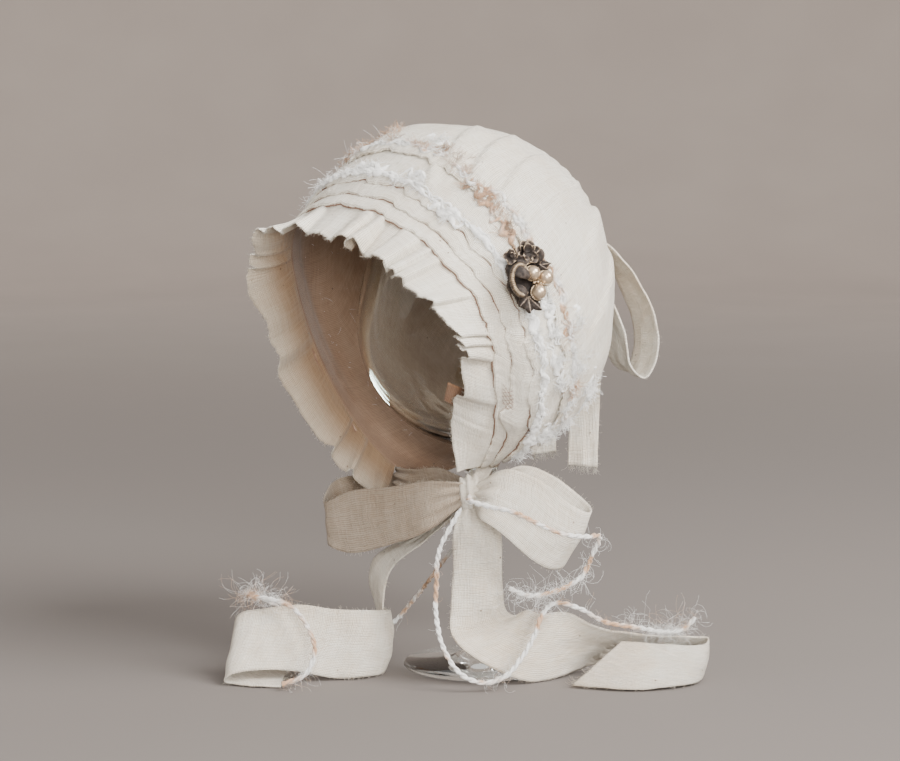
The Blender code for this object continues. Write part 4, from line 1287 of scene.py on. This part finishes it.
def makeRibbon(node, rows, start, knot, seed):
    kind = "loop" if "loop" in node else "tail"

    def pointAt(across, along):
        return ribbonPoint(rows, start, across, along, kind, seed)

    mesh = bmesh.new()
    size = addPatch(mesh, ribbonShape["across"], (len(rows) - 1) * ribbonShape["perRing"], pointAt)
    count = int(size[1] * ribbonShape["fray"])
    addFray(seed * 3 + 1, count, pointAt, lambda part: (0.0, part), lambda part: (0.06, part))
    addFray(seed * 3 + 2, count, pointAt, lambda part: (1.0, part), lambda part: (0.94, part))
    if kind == "tail":
        threads = ribbonShape["tornEnd"]
        addFray(seed * 3 + 3, threads, pointAt, lambda part: (part, 1.0), lambda part: (part, 0.985),
                ribbonShape["tornLength"])
    words = node.split("_")
    name = words[0] + words[1].capitalize() + words[2].capitalize()
    # the loop and strap in shade take the browner ribbon of painted shade
    piece = meshObject(name, mesh, shadedRibbon if node in ribbonShape["shaded"] else ribbonCloth)
    settleSheet(piece, size, ribbonShape["wall"], [node], "folded", knot)


for seed, (node, rows) in enumerate(tieRows.items()):
    makeRibbon(node, rows, Vector((0, 0, 0)), "knotTie", seed + 20)
for seed, (node, rows) in enumerate(napeRows.items()):
    makeRibbon(node, rows, knotShape["nape"], "knotNape", seed + 30)


# knots: cloth wrapped round itself, with deep soft folds
def makeKnot(name, node, centre, sizes, seed):
    shape, mesh = knotShape, bmesh.new()
    bmesh.ops.create_uvsphere(mesh, u_segments=shape["around"], v_segments=shape["rings"], radius=1.0)
    flatMap, (wide, tall) = mesh.loops.layers.uv.verify(), shape["flat"]
    smoothFaces(mesh.faces)
    for face in mesh.faces:
        for corner in face.loops:
            corner[flatMap].uv = (corner.vert.co.x * wide, corner.vert.co.z * tall)
    for vert in mesh.verts:
        way = vert.co.copy()
        wrap = way.x * shape["wind"] + shape["slant"] * way.z
        wrap += shape["stray"] * ripple(way * 3 + Vector((seed, 0, 0)), 1.0)
        fold = shape["fold"] * cos(2 * wrap) + shape["lump"] * ripple(way * 4, 1.0) - shape["sink"]
        pinch = 1.0 - shape["pinch"] * (1.0 - abs(way.x)) * smoothStep(*shape["pinchFrom"], abs(way.z))
        local = Vector((way.x * sizes[0], way.y * sizes[1], way.z * sizes[2])) * (1.0 + fold) * pinch
        vert.co = lay(*(centre + local)) * mm
    settle(meshObject(name, mesh, ribbonCloth), "cloth", node)


settle(curveObject("frayedEdges", frayRuns, frayLook["radius"], ribbonCloth), "cloth")
print("frayed threads", len(frayRuns))
makeKnot("knotTie", "tie_knot", knotShape["tie"], knotShape["tieSizes"], 1)
makeKnot("knotNape", "nape_knot", knotShape["nape"], knotShape["napeSizes"], 2)
print("ribbons tied")

# brooch: cast flower of aged bronze with three pearls, its edges a little worn
broochShape = {
    "row": 3.42, "place": 0.42, "plate": (9.0, 13.0, 1.4), "gap": 0.3, "edgeWear": 0.62,
    "lap": 1.9, "cloth": 1.4, "wool": 1.5,        # under the plate: lapped edge, wall and yarn
    # groups of lobes: root x, y, rise, curl and groove, then turn, length, width and height of each
    "rose": [(0.2, 9.4, 2.4, 0.5, 0.7, [(62, 5.4, 2.4, 0), (112, 5.2, 2.4, 0), (12, 6.2, 2.2, 0),
                                        (165, 5.2, 2.3, 0), (215, 5.8, 2.4, 0), (318, 5.6, 2.5, 0),
                                        (265, 4.6, 2.4, 0)]),
             (0.2, 9.4, 2.0, 0.4, 0.7, [(95, 3.5, 2.1, 1.5), (250, 3.5, 2.1, 1.5)])],
    "bud": [(-7.2, 8.0, 2.0, 0.4, 0.5, [(80, 3.25, 1.8, 0), (175, 3.25, 1.8, 0), (260, 3.25, 1.8, 0),
                                        (350, 3.25, 1.8, 0)]),
            (-7.2, 8.0, 1.4, 0.3, 0.5, [(40, 1.82, 1.2, 1.2)])],
    "lips": [(-8.2, 2.8, 2.2, 0.8, -0.5, [(-26, 8.2, 2.3, 3.0)]),
             (-7.6, -4.0, 1.9, 0.8, -0.4, [(-40, 6.6, 2.3, 2.0)]),
             (-4.8, 5.6, 1.9, 0.5, 0.5, [(12, 5.4, 2.1, 1.6)])],
    "sideLobe": [(4.2, 6.0, 2.2, 0.8, 0.3, [(62, 5.2, 1.9, 0.8)])],
    # leaves: root x, y, height, rise, then turn, length and width of each
    "lowLeaves": (-0.6, -7.8, 0.2, 1.2, [(-92, 6.6, 3.0), (-48, 7.4, 2.9), (-140, 6.0, 2.6),
                                         (-5, 6.4, 2.4)]),
    "sideLeaves": (5.6, 4.6, 0.6, 0.9, [(5, 4.8, 1.7), (70, 3.8, 1.4), (-35, 4.0, 1.5)]), "teeth": 4,
    "shell": (-4.6, -1.6, 4.4, 6.3), "shellStart": 35, "shellSweep": 265, "rollInset": 0.35,
    "pearl": 2.9, "pearls": {"pearl_top": (1.4, 1.2), "pearl_side": (7.0, -0.8), "pearl_low": (3.2, -6.4)},
    "grains": 34, "grainMiddle": (3.6, -2.0), "grainReach": (2.9, 5.0), "grainSizes": (0.40, 0.78),
    "plateGrid": (132, 14), "lobeGrid": (14, 14), "leafGrid": (14, 22), "shellGrid": (96, 16),
    "pearlGrid": (48, 32), "rollSteps": 10,
    "walls": {"plate": 0.4, "rose": 0.45, "bud": 0.4, "shell": 0.35, "leaves": 0.4, "settings": 0.1},
    # milled rims: height over the plate, thickness, beads, steps round it and wear, with a painted highlight
    # added along the rim's top
    "shellRoll": (3.8, 0.9, 34, 180, 0.52), "settingRoll": (1.5, 0.38, 18, 108, 0.65),
    "settingReach": 0.98,
    "metal": {"dark": (0.016, 0.011, 0.009), "body": (0.098, 0.076, 0.063), "edge": (0.47, 0.365, 0.25)},
}
plateTop = broochShape["plate"][2] + broochShape["gap"]


def broochMatrix():
    row, place = broochShape["row"], broochShape["place"]
    out = bonnetNormal(row, place)
    up = (Vector((0, 0, 1)) - out * out.z).normalized()
    lap = broochShape["lap"] * (1.0 - smoothStep(3.24, 3.62, row))
    under = lap + broochShape["cloth"] + 2 * broochShape["wool"] + 3 * broochShape["gap"]
    matrix = Matrix((up.cross(out), up, out)).transposed().to_4x4()
    matrix.translation = bonnetPoint(row, place) + out * under
    return matrix


broochFrame = broochMatrix()


def metalMaterial():
    # this attribute is 1 on worn raised edges and 0 in the hollows; on the milled rims it also carries a
    # painted highlight along their tops
    material, tree, shader = newMaterial("agedBronze")
    tones = broochShape["metal"]
    wear = tree.nodes.new("ShaderNodeAttribute")
    wear.attribute_name = "wear"
    grain = noiseNode(tree, coordinates(tree, "Object"), 800.0, 4.0, 0.65)
    rough = calc(tree, "MULTIPLY", calc(tree, "SUBTRACT", grain, 0.5), 0.9)
    level = calc(tree, "ADD", wear.outputs["Fac"], rough)
    body = mixColour(tree, rampNode(tree, level, 0.05, 0.5), tones["dark"], tones["body"])
    colour = mixColour(tree, rampNode(tree, level, 0.60, 1.05), body, tones["edge"])
    feed(tree, colour, shader.inputs["Base Color"])
    feed(tree, rampNode(tree, level, 0.2, 1.0, 0.66, 0.36), shader.inputs["Roughness"])
    feed(tree, rampNode(tree, level, 0.0, 0.8, 0.35, 0.85), shader.inputs["Metallic"])
    feed(tree, bumpNode(tree, grain, 0.45, 0.0005), shader.inputs["Normal"])
    return material


def pearlMaterial():
    material, tree, shader = newMaterial("champagnePearl")
    cloud = noiseNode(tree, coordinates(tree, "Object"), 420.0, 3.0)
    feed(tree, mixColour(tree, cloud, (0.50, 0.365, 0.235), (0.72, 0.58, 0.43)), shader.inputs["Base Color"])
    feed(tree, rampNode(tree, cloud, 0.3, 0.7, 0.26, 0.32), shader.inputs["Roughness"])
    setSockets(shader, {"Metallic": 0.75, "Coat Weight": 1.0, "Coat Roughness": 0.06})
    return material


agedBronze = metalMaterial()


def addMetal(mesh, across, along, pointAt, wearAt, closed=False):
    # grid bent into a petal or leaf, in millimetres on the plate, with its worn edges, and on rims a painted
    # highlight, marked
    wear = mesh.verts.layers.float.get("wear") or mesh.verts.layers.float.new("wear")
    made = bmesh.ops.create_grid(mesh, x_segments=across, y_segments=along, size=0.5)["verts"]
    for vert in made:
        a, b = vert.co.x + 0.5, vert.co.y + 0.5
        vert[wear] = wearAt(a, b)
        vert.co = (broochFrame @ Vector(pointAt(a, b))) * mm
    smoothFaces({face for vert in made for face in vert.link_faces})
    if closed:
        bmesh.ops.remove_doubles(mesh, verts=made, dist=1e-7)


def finishMetal(name, mesh, wall, *nodes):
    mesh.normal_update()
    piece = meshObject(name, mesh, agedBronze)
    thicken(piece, wall)
    settle(piece, "bronze", *nodes)


def turned(root, turn, along, off, height):
    x = root[0] + along * cos(turn) - off * sin(turn)
    y = root[1] + along * sin(turn) + off * cos(turn)
    return x, y, height


def addLobe(mesh, root, turn, length, width, base, rise, curl, groove):
    # domed petal with a soft groove down its middle and an edge that turns down
    def pointAt(a, b):
        side = a * 2 - 1
        half = width * sin(pi * (0.16 + 0.70 * b)) ** 0.7
        dome = rise * sin(pi * (0.08 + 0.50 * b)) - curl * smoothStep(0.85, 1.0, b)
        dome -= groove * 1.6 * (1.0 - abs(side) ** 2.4) * sin(pi * b) ** 0.7
        dome += 0.07 * sin(7 * side + 4 * b + turn)
        return turned(root, turn, length * (1.0 - 0.16 * side * side) * b, side * half, base + dome)

    def wearAt(a, b):
        side = abs(a * 2 - 1)
        rim = max(smoothStep(0.84, 0.98, b), smoothStep(0.82, 0.98, side))
        return 0.05 + 0.28 * b + broochShape["edgeWear"] * rim * smoothStep(0.2, 0.6, b)

    addMetal(mesh, *broochShape["lobeGrid"], pointAt, wearAt)


def addLobes(mesh, name):
    for x, y, rise, curl, groove, rows in broochShape[name]:
        for turn, length, width, height in rows:
            addLobe(mesh, (x, y), radians(turn), length, width, plateTop + height, rise, curl, groove)


def addLeaf(mesh, root, turn, length, width, base, rise, teeth):
    # pointed leaf with a toothed edge and a raised middle vein
    def pointAt(a, b):
        side = a * 2 - 1
        outline = width * sin(pi * (0.08 + 0.92 * b) ** 0.8) ** 0.8
        outline *= 1.0 - 0.26 * abs(sin(pi * teeth * b)) * abs(side)
        height = base + rise * b + 0.5 * (1.0 - abs(side)) ** 2 + 0.15 * cos(pi * 2 * teeth * b) * abs(side)
        height -= 0.8 * side * side * b
        return turned(root, turn, length * b, side * max(outline, 0.03), height)

    def wearAt(a, b):
        side = abs(a * 2 - 1)
        rim = max(1.0 - smoothStep(0.0, 0.10, side), smoothStep(0.90, 1.0, side))
        return 0.15 + broochShape["edgeWear"] * rim

    addMetal(mesh, *broochShape["leafGrid"], pointAt, wearAt)


def addLeaves(mesh, name):
    x, y, height, rise, rows = broochShape[name]
    for turn, length, width in rows:
        addLeaf(mesh, (x, y), radians(turn), length, width, plateTop + height, rise, broochShape["teeth"])


def addRoll(mesh, centre, radii, start, sweep, look):
    # milled rim round part of an oval, or all of it, as a tube that thins out at open ends
    rise, thick, milled, segments, shine = look
    wide, tall = radii
    full = abs(sweep) > 359

    def pointAt(a, b):
        angle, roll = radians(start + sweep * a), 2 * pi * b
        bead = thick * (1.0 + 0.22 * cos(milled * 2 * pi * a))
        bead *= 1.0 if full else 0.25 + 0.75 * smoothStep(0.0, 0.18, min(a, 1.0 - a))
        x, y = (wide + bead * cos(roll)) * cos(angle), (tall + bead * cos(roll)) * sin(angle)
        return centre[0] + x, centre[1] + y, plateTop + rise + bead * sin(roll)

    steps = broochShape["rollSteps"]
    # painted highlight: the rim is lighter along its top and darker beneath
    addMetal(mesh, segments, steps, pointAt, lambda a, b: shine + 0.42 * sin(2 * pi * b), True)


def ovalReach(wide, tall, angle):
    return wide * tall / sqrt((tall * cos(angle)) ** 2 + (wide * sin(angle)) ** 2)


def makePlate():
    plate = bmesh.new()
    wide, tall, thick = broochShape["plate"]

    def plateAt(a, b):
        angle = 2 * pi * a
        reach = ovalReach(wide, tall, angle)
        reach *= b * (0.90 + 0.06 * cos(7 * angle) + 0.02 * cos(44 * angle) * smoothStep(0.8, 1.0, b))
        height = thick * (1.0 - smoothStep(0.86, 1.0, b)) + 0.25 * cos(9 * angle) * b * (1 - b)
        return reach * cos(angle), reach * sin(angle), height

    grid = broochShape["plateGrid"]
    addMetal(plate, *grid, plateAt, lambda a, b: 0.05 + 0.35 * smoothStep(0.9, 1.0, b), True)
    finishMetal("broochPlate", plate, broochShape["walls"]["plate"], "brooch_plate")


def makeFlowers():
    for name in ("rose", "bud"):
        flower = bmesh.new()
        addLobes(flower, name)
        finishMetal("brooch" + name.capitalize(), flower, broochShape["walls"][name], "brooch_" + name)


def makeShell():
    # the large petal: an open bowl whose rim rolls out on the left, and lips that fold over its hollow
    shell = bmesh.new()
    x, y, wide, tall = broochShape["shell"]
    start, sweep, inset = broochShape["shellStart"], broochShape["shellSweep"], broochShape["rollInset"]

    def shellAt(a, b):
        angle = radians(start + sweep * a)
        reach = ovalReach(wide, tall, angle) * b
        height = plateTop + 0.4 + 3.4 * b ** 2.4 + 0.12 * b * cos(16 * angle)
        return x + reach * cos(angle), y + reach * sin(angle), height

    addMetal(shell, *broochShape["shellGrid"], shellAt, lambda a, b: 0.30 * b)
    addRoll(shell, (x, y), (wide - inset, tall - inset), start, sweep, broochShape["shellRoll"])
    addLobes(shell, "lips")
    finishMetal("broochShell", shell, broochShape["walls"]["shell"], "brooch_petal")


def makeLeaves():
    low, side, wall = bmesh.new(), bmesh.new(), broochShape["walls"]["leaves"]
    addLeaves(low, "lowLeaves")
    finishMetal("broochLowLeaves", low, wall, "brooch_leaf_low")
    addLeaves(side, "sideLeaves")
    addLobes(side, "sideLobe")
    finishMetal("broochSideLeaves", side, wall, "brooch_leaf_side")


def makePearls():
    pearls, settings, size = pearlMaterial(), bmesh.new(), broochShape["pearl"]
    (around, rings), reach = broochShape["pearlGrid"], size * broochShape["settingReach"]
    for node, (x, y) in broochShape["pearls"].items():
        mesh, middle = bmesh.new(), broochFrame @ Vector((x, y, plateTop + size))
        bmesh.ops.create_uvsphere(mesh, u_segments=around, v_segments=rings, radius=size * mm)
        bmesh.ops.translate(mesh, verts=mesh.verts, vec=middle * mm)
        smoothFaces(mesh.faces)
        words = node.split("_")
        settle(meshObject(words[0] + words[1].capitalize(), mesh, pearls), "pearl", node)
        addRoll(settings, (x, y), (reach, reach), 0, 360, broochShape["settingRoll"])
    finishMetal("pearlSettings", settings, broochShape["walls"]["settings"])


def makeGrains():
    rng, grains = Random(17), bmesh.new()
    wear = grains.verts.layers.float.new("wear")
    middle, reach = broochShape["grainMiddle"], broochShape["grainReach"]
    for _ in range(broochShape["grains"]):
        angle = rng.uniform(0, 2 * pi)
        x = middle[0] + reach[0] * cos(angle) * rng.random()
        y = middle[1] + reach[1] * sin(angle) * rng.random()
        radius = rng.uniform(*broochShape["grainSizes"])
        spot = (broochFrame @ Vector((x, y, plateTop + 1.4 + rng.uniform(0, 1.9)))) * mm
        made = bmesh.ops.create_icosphere(grains, subdivisions=2, radius=radius * mm)["verts"]
        bmesh.ops.translate(grains, verts=made, vec=spot)
        for vert in made:
            vert[wear] = 1.1
    smoothFaces(grains.faces)
    settle(meshObject("goldGrains", grains, agedBronze), "bronze")


for makePart in (makePlate, makeFlowers, makeShell, makeLeaves, makePearls, makeGrains):
    makePart()
print("brooch cast")

# glass: one blown piece, turned about the stem
glassShape = {
    "foot": 33.0, "stem": 3.8, "stemTop": 84.0, "bowl": 52.5, "centre": 147.0, "rim": 35.4,
    "rimHeight": 206.0, "wall": 1.6, "lip": 0.15, "bottom": 2.0, "curve": 1.7, "sideSteps": 16, "steps": 96,
}


def glassSide(bowl, rim, part):
    # the bowl above its widest ring, from there at 0 to the rim at 1
    g = glassShape
    return bowl - (bowl - rim) * part ** g["curve"], g["centre"] + (g["rimHeight"] - g["centre"]) * part


def glassRound(wide, tall, angle):
    # the bowl below its widest ring
    return wide * cos(radians(angle)), glassShape["centre"] + tall * sin(radians(angle))


def glassOutline():
    g = glassShape
    foot, stem, count = g["foot"], g["stem"], g["sideSteps"]
    inner, top = g["bowl"] - g["wall"], g["rimHeight"] + g["lip"]
    points = [(0.0, 0.0), (foot - 0.6, 0.0), (foot - 0.1, 0.25), (foot, 0.75), (foot - 0.25, 1.3),
              (foot - 0.9, 1.65), (18.0, 2.8), (12.0, 4.1), (8.0, 6.0), (5.8, 8.8), (stem + 0.8, 13.0),
              (stem + 0.2, 19.0), (stem, 28.0), (stem, 45.0), (stem, 62.0), (stem + 0.35, 72.0),
              (stem + 1.2, g["stemTop"] - 4.0)]
    points += [glassRound(g["bowl"], g["bowl"], angle) for angle in range(-76, 1, 4)]
    points += [glassSide(g["bowl"], g["rim"], k / count) for k in range(1, count + 1)]
    points += [(g["rim"] - 0.3, top), (g["rim"] - g["wall"] + 0.3, top)]
    points += [glassSide(inner, g["rim"] - g["wall"], k / count) for k in range(count, 0, -1)]
    points += [glassRound(inner, inner - g["bottom"], angle) for angle in range(0, -88, -4)]
    return points + [(0.0, g["centre"] - inner + g["bottom"])]


def glassMaterial():
    material, tree, shader = newMaterial("blownGlass")
    setSockets(shader, {"Base Color": (0.95, 0.985, 0.965, 1.0), "Transmission Weight": 1.0, "IOR": 1.5})
    point = coordinates(tree, "Object")
    feed(tree, rampNode(tree, noiseNode(tree, point, 40.0, 4.0, 0.6), 0.45, 0.8, 0.01, 0.07),
         shader.inputs["Roughness"])
    lightPath = tree.nodes.new("ShaderNodeLightPath")
    shadow = rampNode(tree, lightPath.outputs["Is Shadow Ray"], 0.0, 1.0, 1.0, 0.12)        # a light shadow
    feed(tree, shadow, shader.inputs["Alpha"])
    feed(tree, bumpNode(tree, noiseNode(tree, point, 22.0, 1.0), 0.12, 0.002), shader.inputs["Normal"])
    return material


def turnedMesh(points, steps):
    mesh = bmesh.new()
    verts = [mesh.verts.new((radius * mm, 0.0, height * mm)) for radius, height in points]
    edges = [mesh.edges.new(pair) for pair in zip(verts, verts[1:])]
    bmesh.ops.spin(mesh, geom=verts + edges, cent=(0, 0, 0), axis=(0, 0, 1), angle=2 * pi, steps=steps,
                   use_merge=True)
    bmesh.ops.remove_doubles(mesh, verts=mesh.verts, dist=1e-6)
    bmesh.ops.recalc_face_normals(mesh, faces=mesh.faces)
    smoothFaces(mesh.faces)
    return mesh


glass = meshObject("glassStand", turnedMesh(glassOutline(), glassShape["steps"]), glassMaterial())
settle(glass, "glass", "glass_stand")
print("glass turned")

# floor, wall and light
studio = {
    "floor": (0.172, 0.153, 0.142), "wall": (0.49, 0.428, 0.388), "grain": (0.20, 0.17, 0.15),
    "reach": 2.6, "rise": 2.4, "drop": 0.2, "bend": 8, "steps": 64, "fade": (0.5, 2.9),
    "world": 0.90, "worldColour": (1.0, 0.97, 0.94, 1.0),
    "lights": {        # place, target, width, height, turn, power, colour, what it reaches
        "keyLight": ((1.45, 0.10, 1.30), (0, 0, 0.14), 1.1, 1.1, 0, 73.0, (1.0, 0.975, 0.94), "all"),
        "frontLight": ((1.05, -0.95, 0.62), (0.02, -0.03, 0.14), 0.8, 0.8, 0, 19.0, (1.0, 0.98, 0.95),
                       "all"),
        "leftLight": ((-0.62, -1.35, 0.25), (0, 0, 0.11), 0.30, 0.30, 0, 5.0, (1.0, 1.0, 0.97), "cloth"),
        "lowLight": ((1.00, -0.72, 0.16), (0.03, -0.03, 0.12), 0.40, 0.40, 0, 9.5, (1.0, 0.99, 0.96),
                     "cloth"),
        "gleam": ((-0.0415, -0.0265, 0.1145), (-0.0255, -0.037, 0.120), 0.003, 0.018, -29, 0.003,
                  (0.85, 1.0, 0.88), "glass"),
    },
}


def makeStudio():
    outline = [(0.0, 0.0), (studio["reach"], 0.0)]
    for k in range(1, studio["bend"] + 1):
        turn = pi / 2 * k / studio["bend"]
        outline.append((studio["reach"] + sin(turn), 1.0 - cos(turn)))
    outline.append((studio["reach"] + 1.0, studio["rise"]))
    outline = [(radius / mm, height / mm - studio["drop"]) for radius, height in outline]
    mesh = turnedMesh(outline, studio["steps"])
    bmesh.ops.reverse_faces(mesh, faces=mesh.faces)
    material, tree, shader = newMaterial("paperFloor")
    point = coordinates(tree, "Object")
    length = tree.nodes.new("ShaderNodeVectorMath")
    length.operation = "LENGTH"
    feed(tree, point, length.inputs[0])
    # painted shade and light: the paper is dark round the object and grows lighter with distance, up the
    # wall
    far = rampNode(tree, length.outputs["Value"], *studio["fade"])
    colour = mixColour(tree, far, studio["floor"], studio["wall"])
    grain = rampNode(tree, noiseNode(tree, point, 6.0, 3.0), 0.2, 0.8, 0.0, 0.10)
    feed(tree, mixColour(tree, grain, colour, studio["grain"]), shader.inputs["Base Color"])
    setSockets(shader, {"Roughness": 0.95})
    floorPiece = meshObject("studioFloor", mesh, material)
    bpy.context.scene.collection.objects.link(floorPiece)


def areaLight(name, place, target, width, height, turn, power, colour, reaches):
    data = bpy.data.lights.new(name, "AREA")
    data.shape = "ELLIPSE"
    data.size, data.size_y = width, height
    data.energy, data.color = power, colour
    light = bpy.data.objects.new(name, data)
    light.location = place
    facing = (Vector(target) - Vector(place)).to_track_quat("-Z", "Y")
    light.rotation_euler = (facing @ Quaternion((0, 0, 1), radians(turn))).to_euler()
    light.visible_camera = False
    light.visible_diffuse = reaches != "glass"
    light.visible_glossy = light.visible_transmission = reaches != "cloth"
    bpy.context.scene.collection.objects.link(light)


makeStudio()
for name, values in studio["lights"].items():
    areaLight(name, *values)
world = bpy.data.worlds.new("studioWorld")
world.use_nodes = True
background = {"Color": studio["worldColour"], "Strength": studio["world"]}
setSockets(world.node_tree.nodes["Background"], background)
bpy.context.scene.world = world
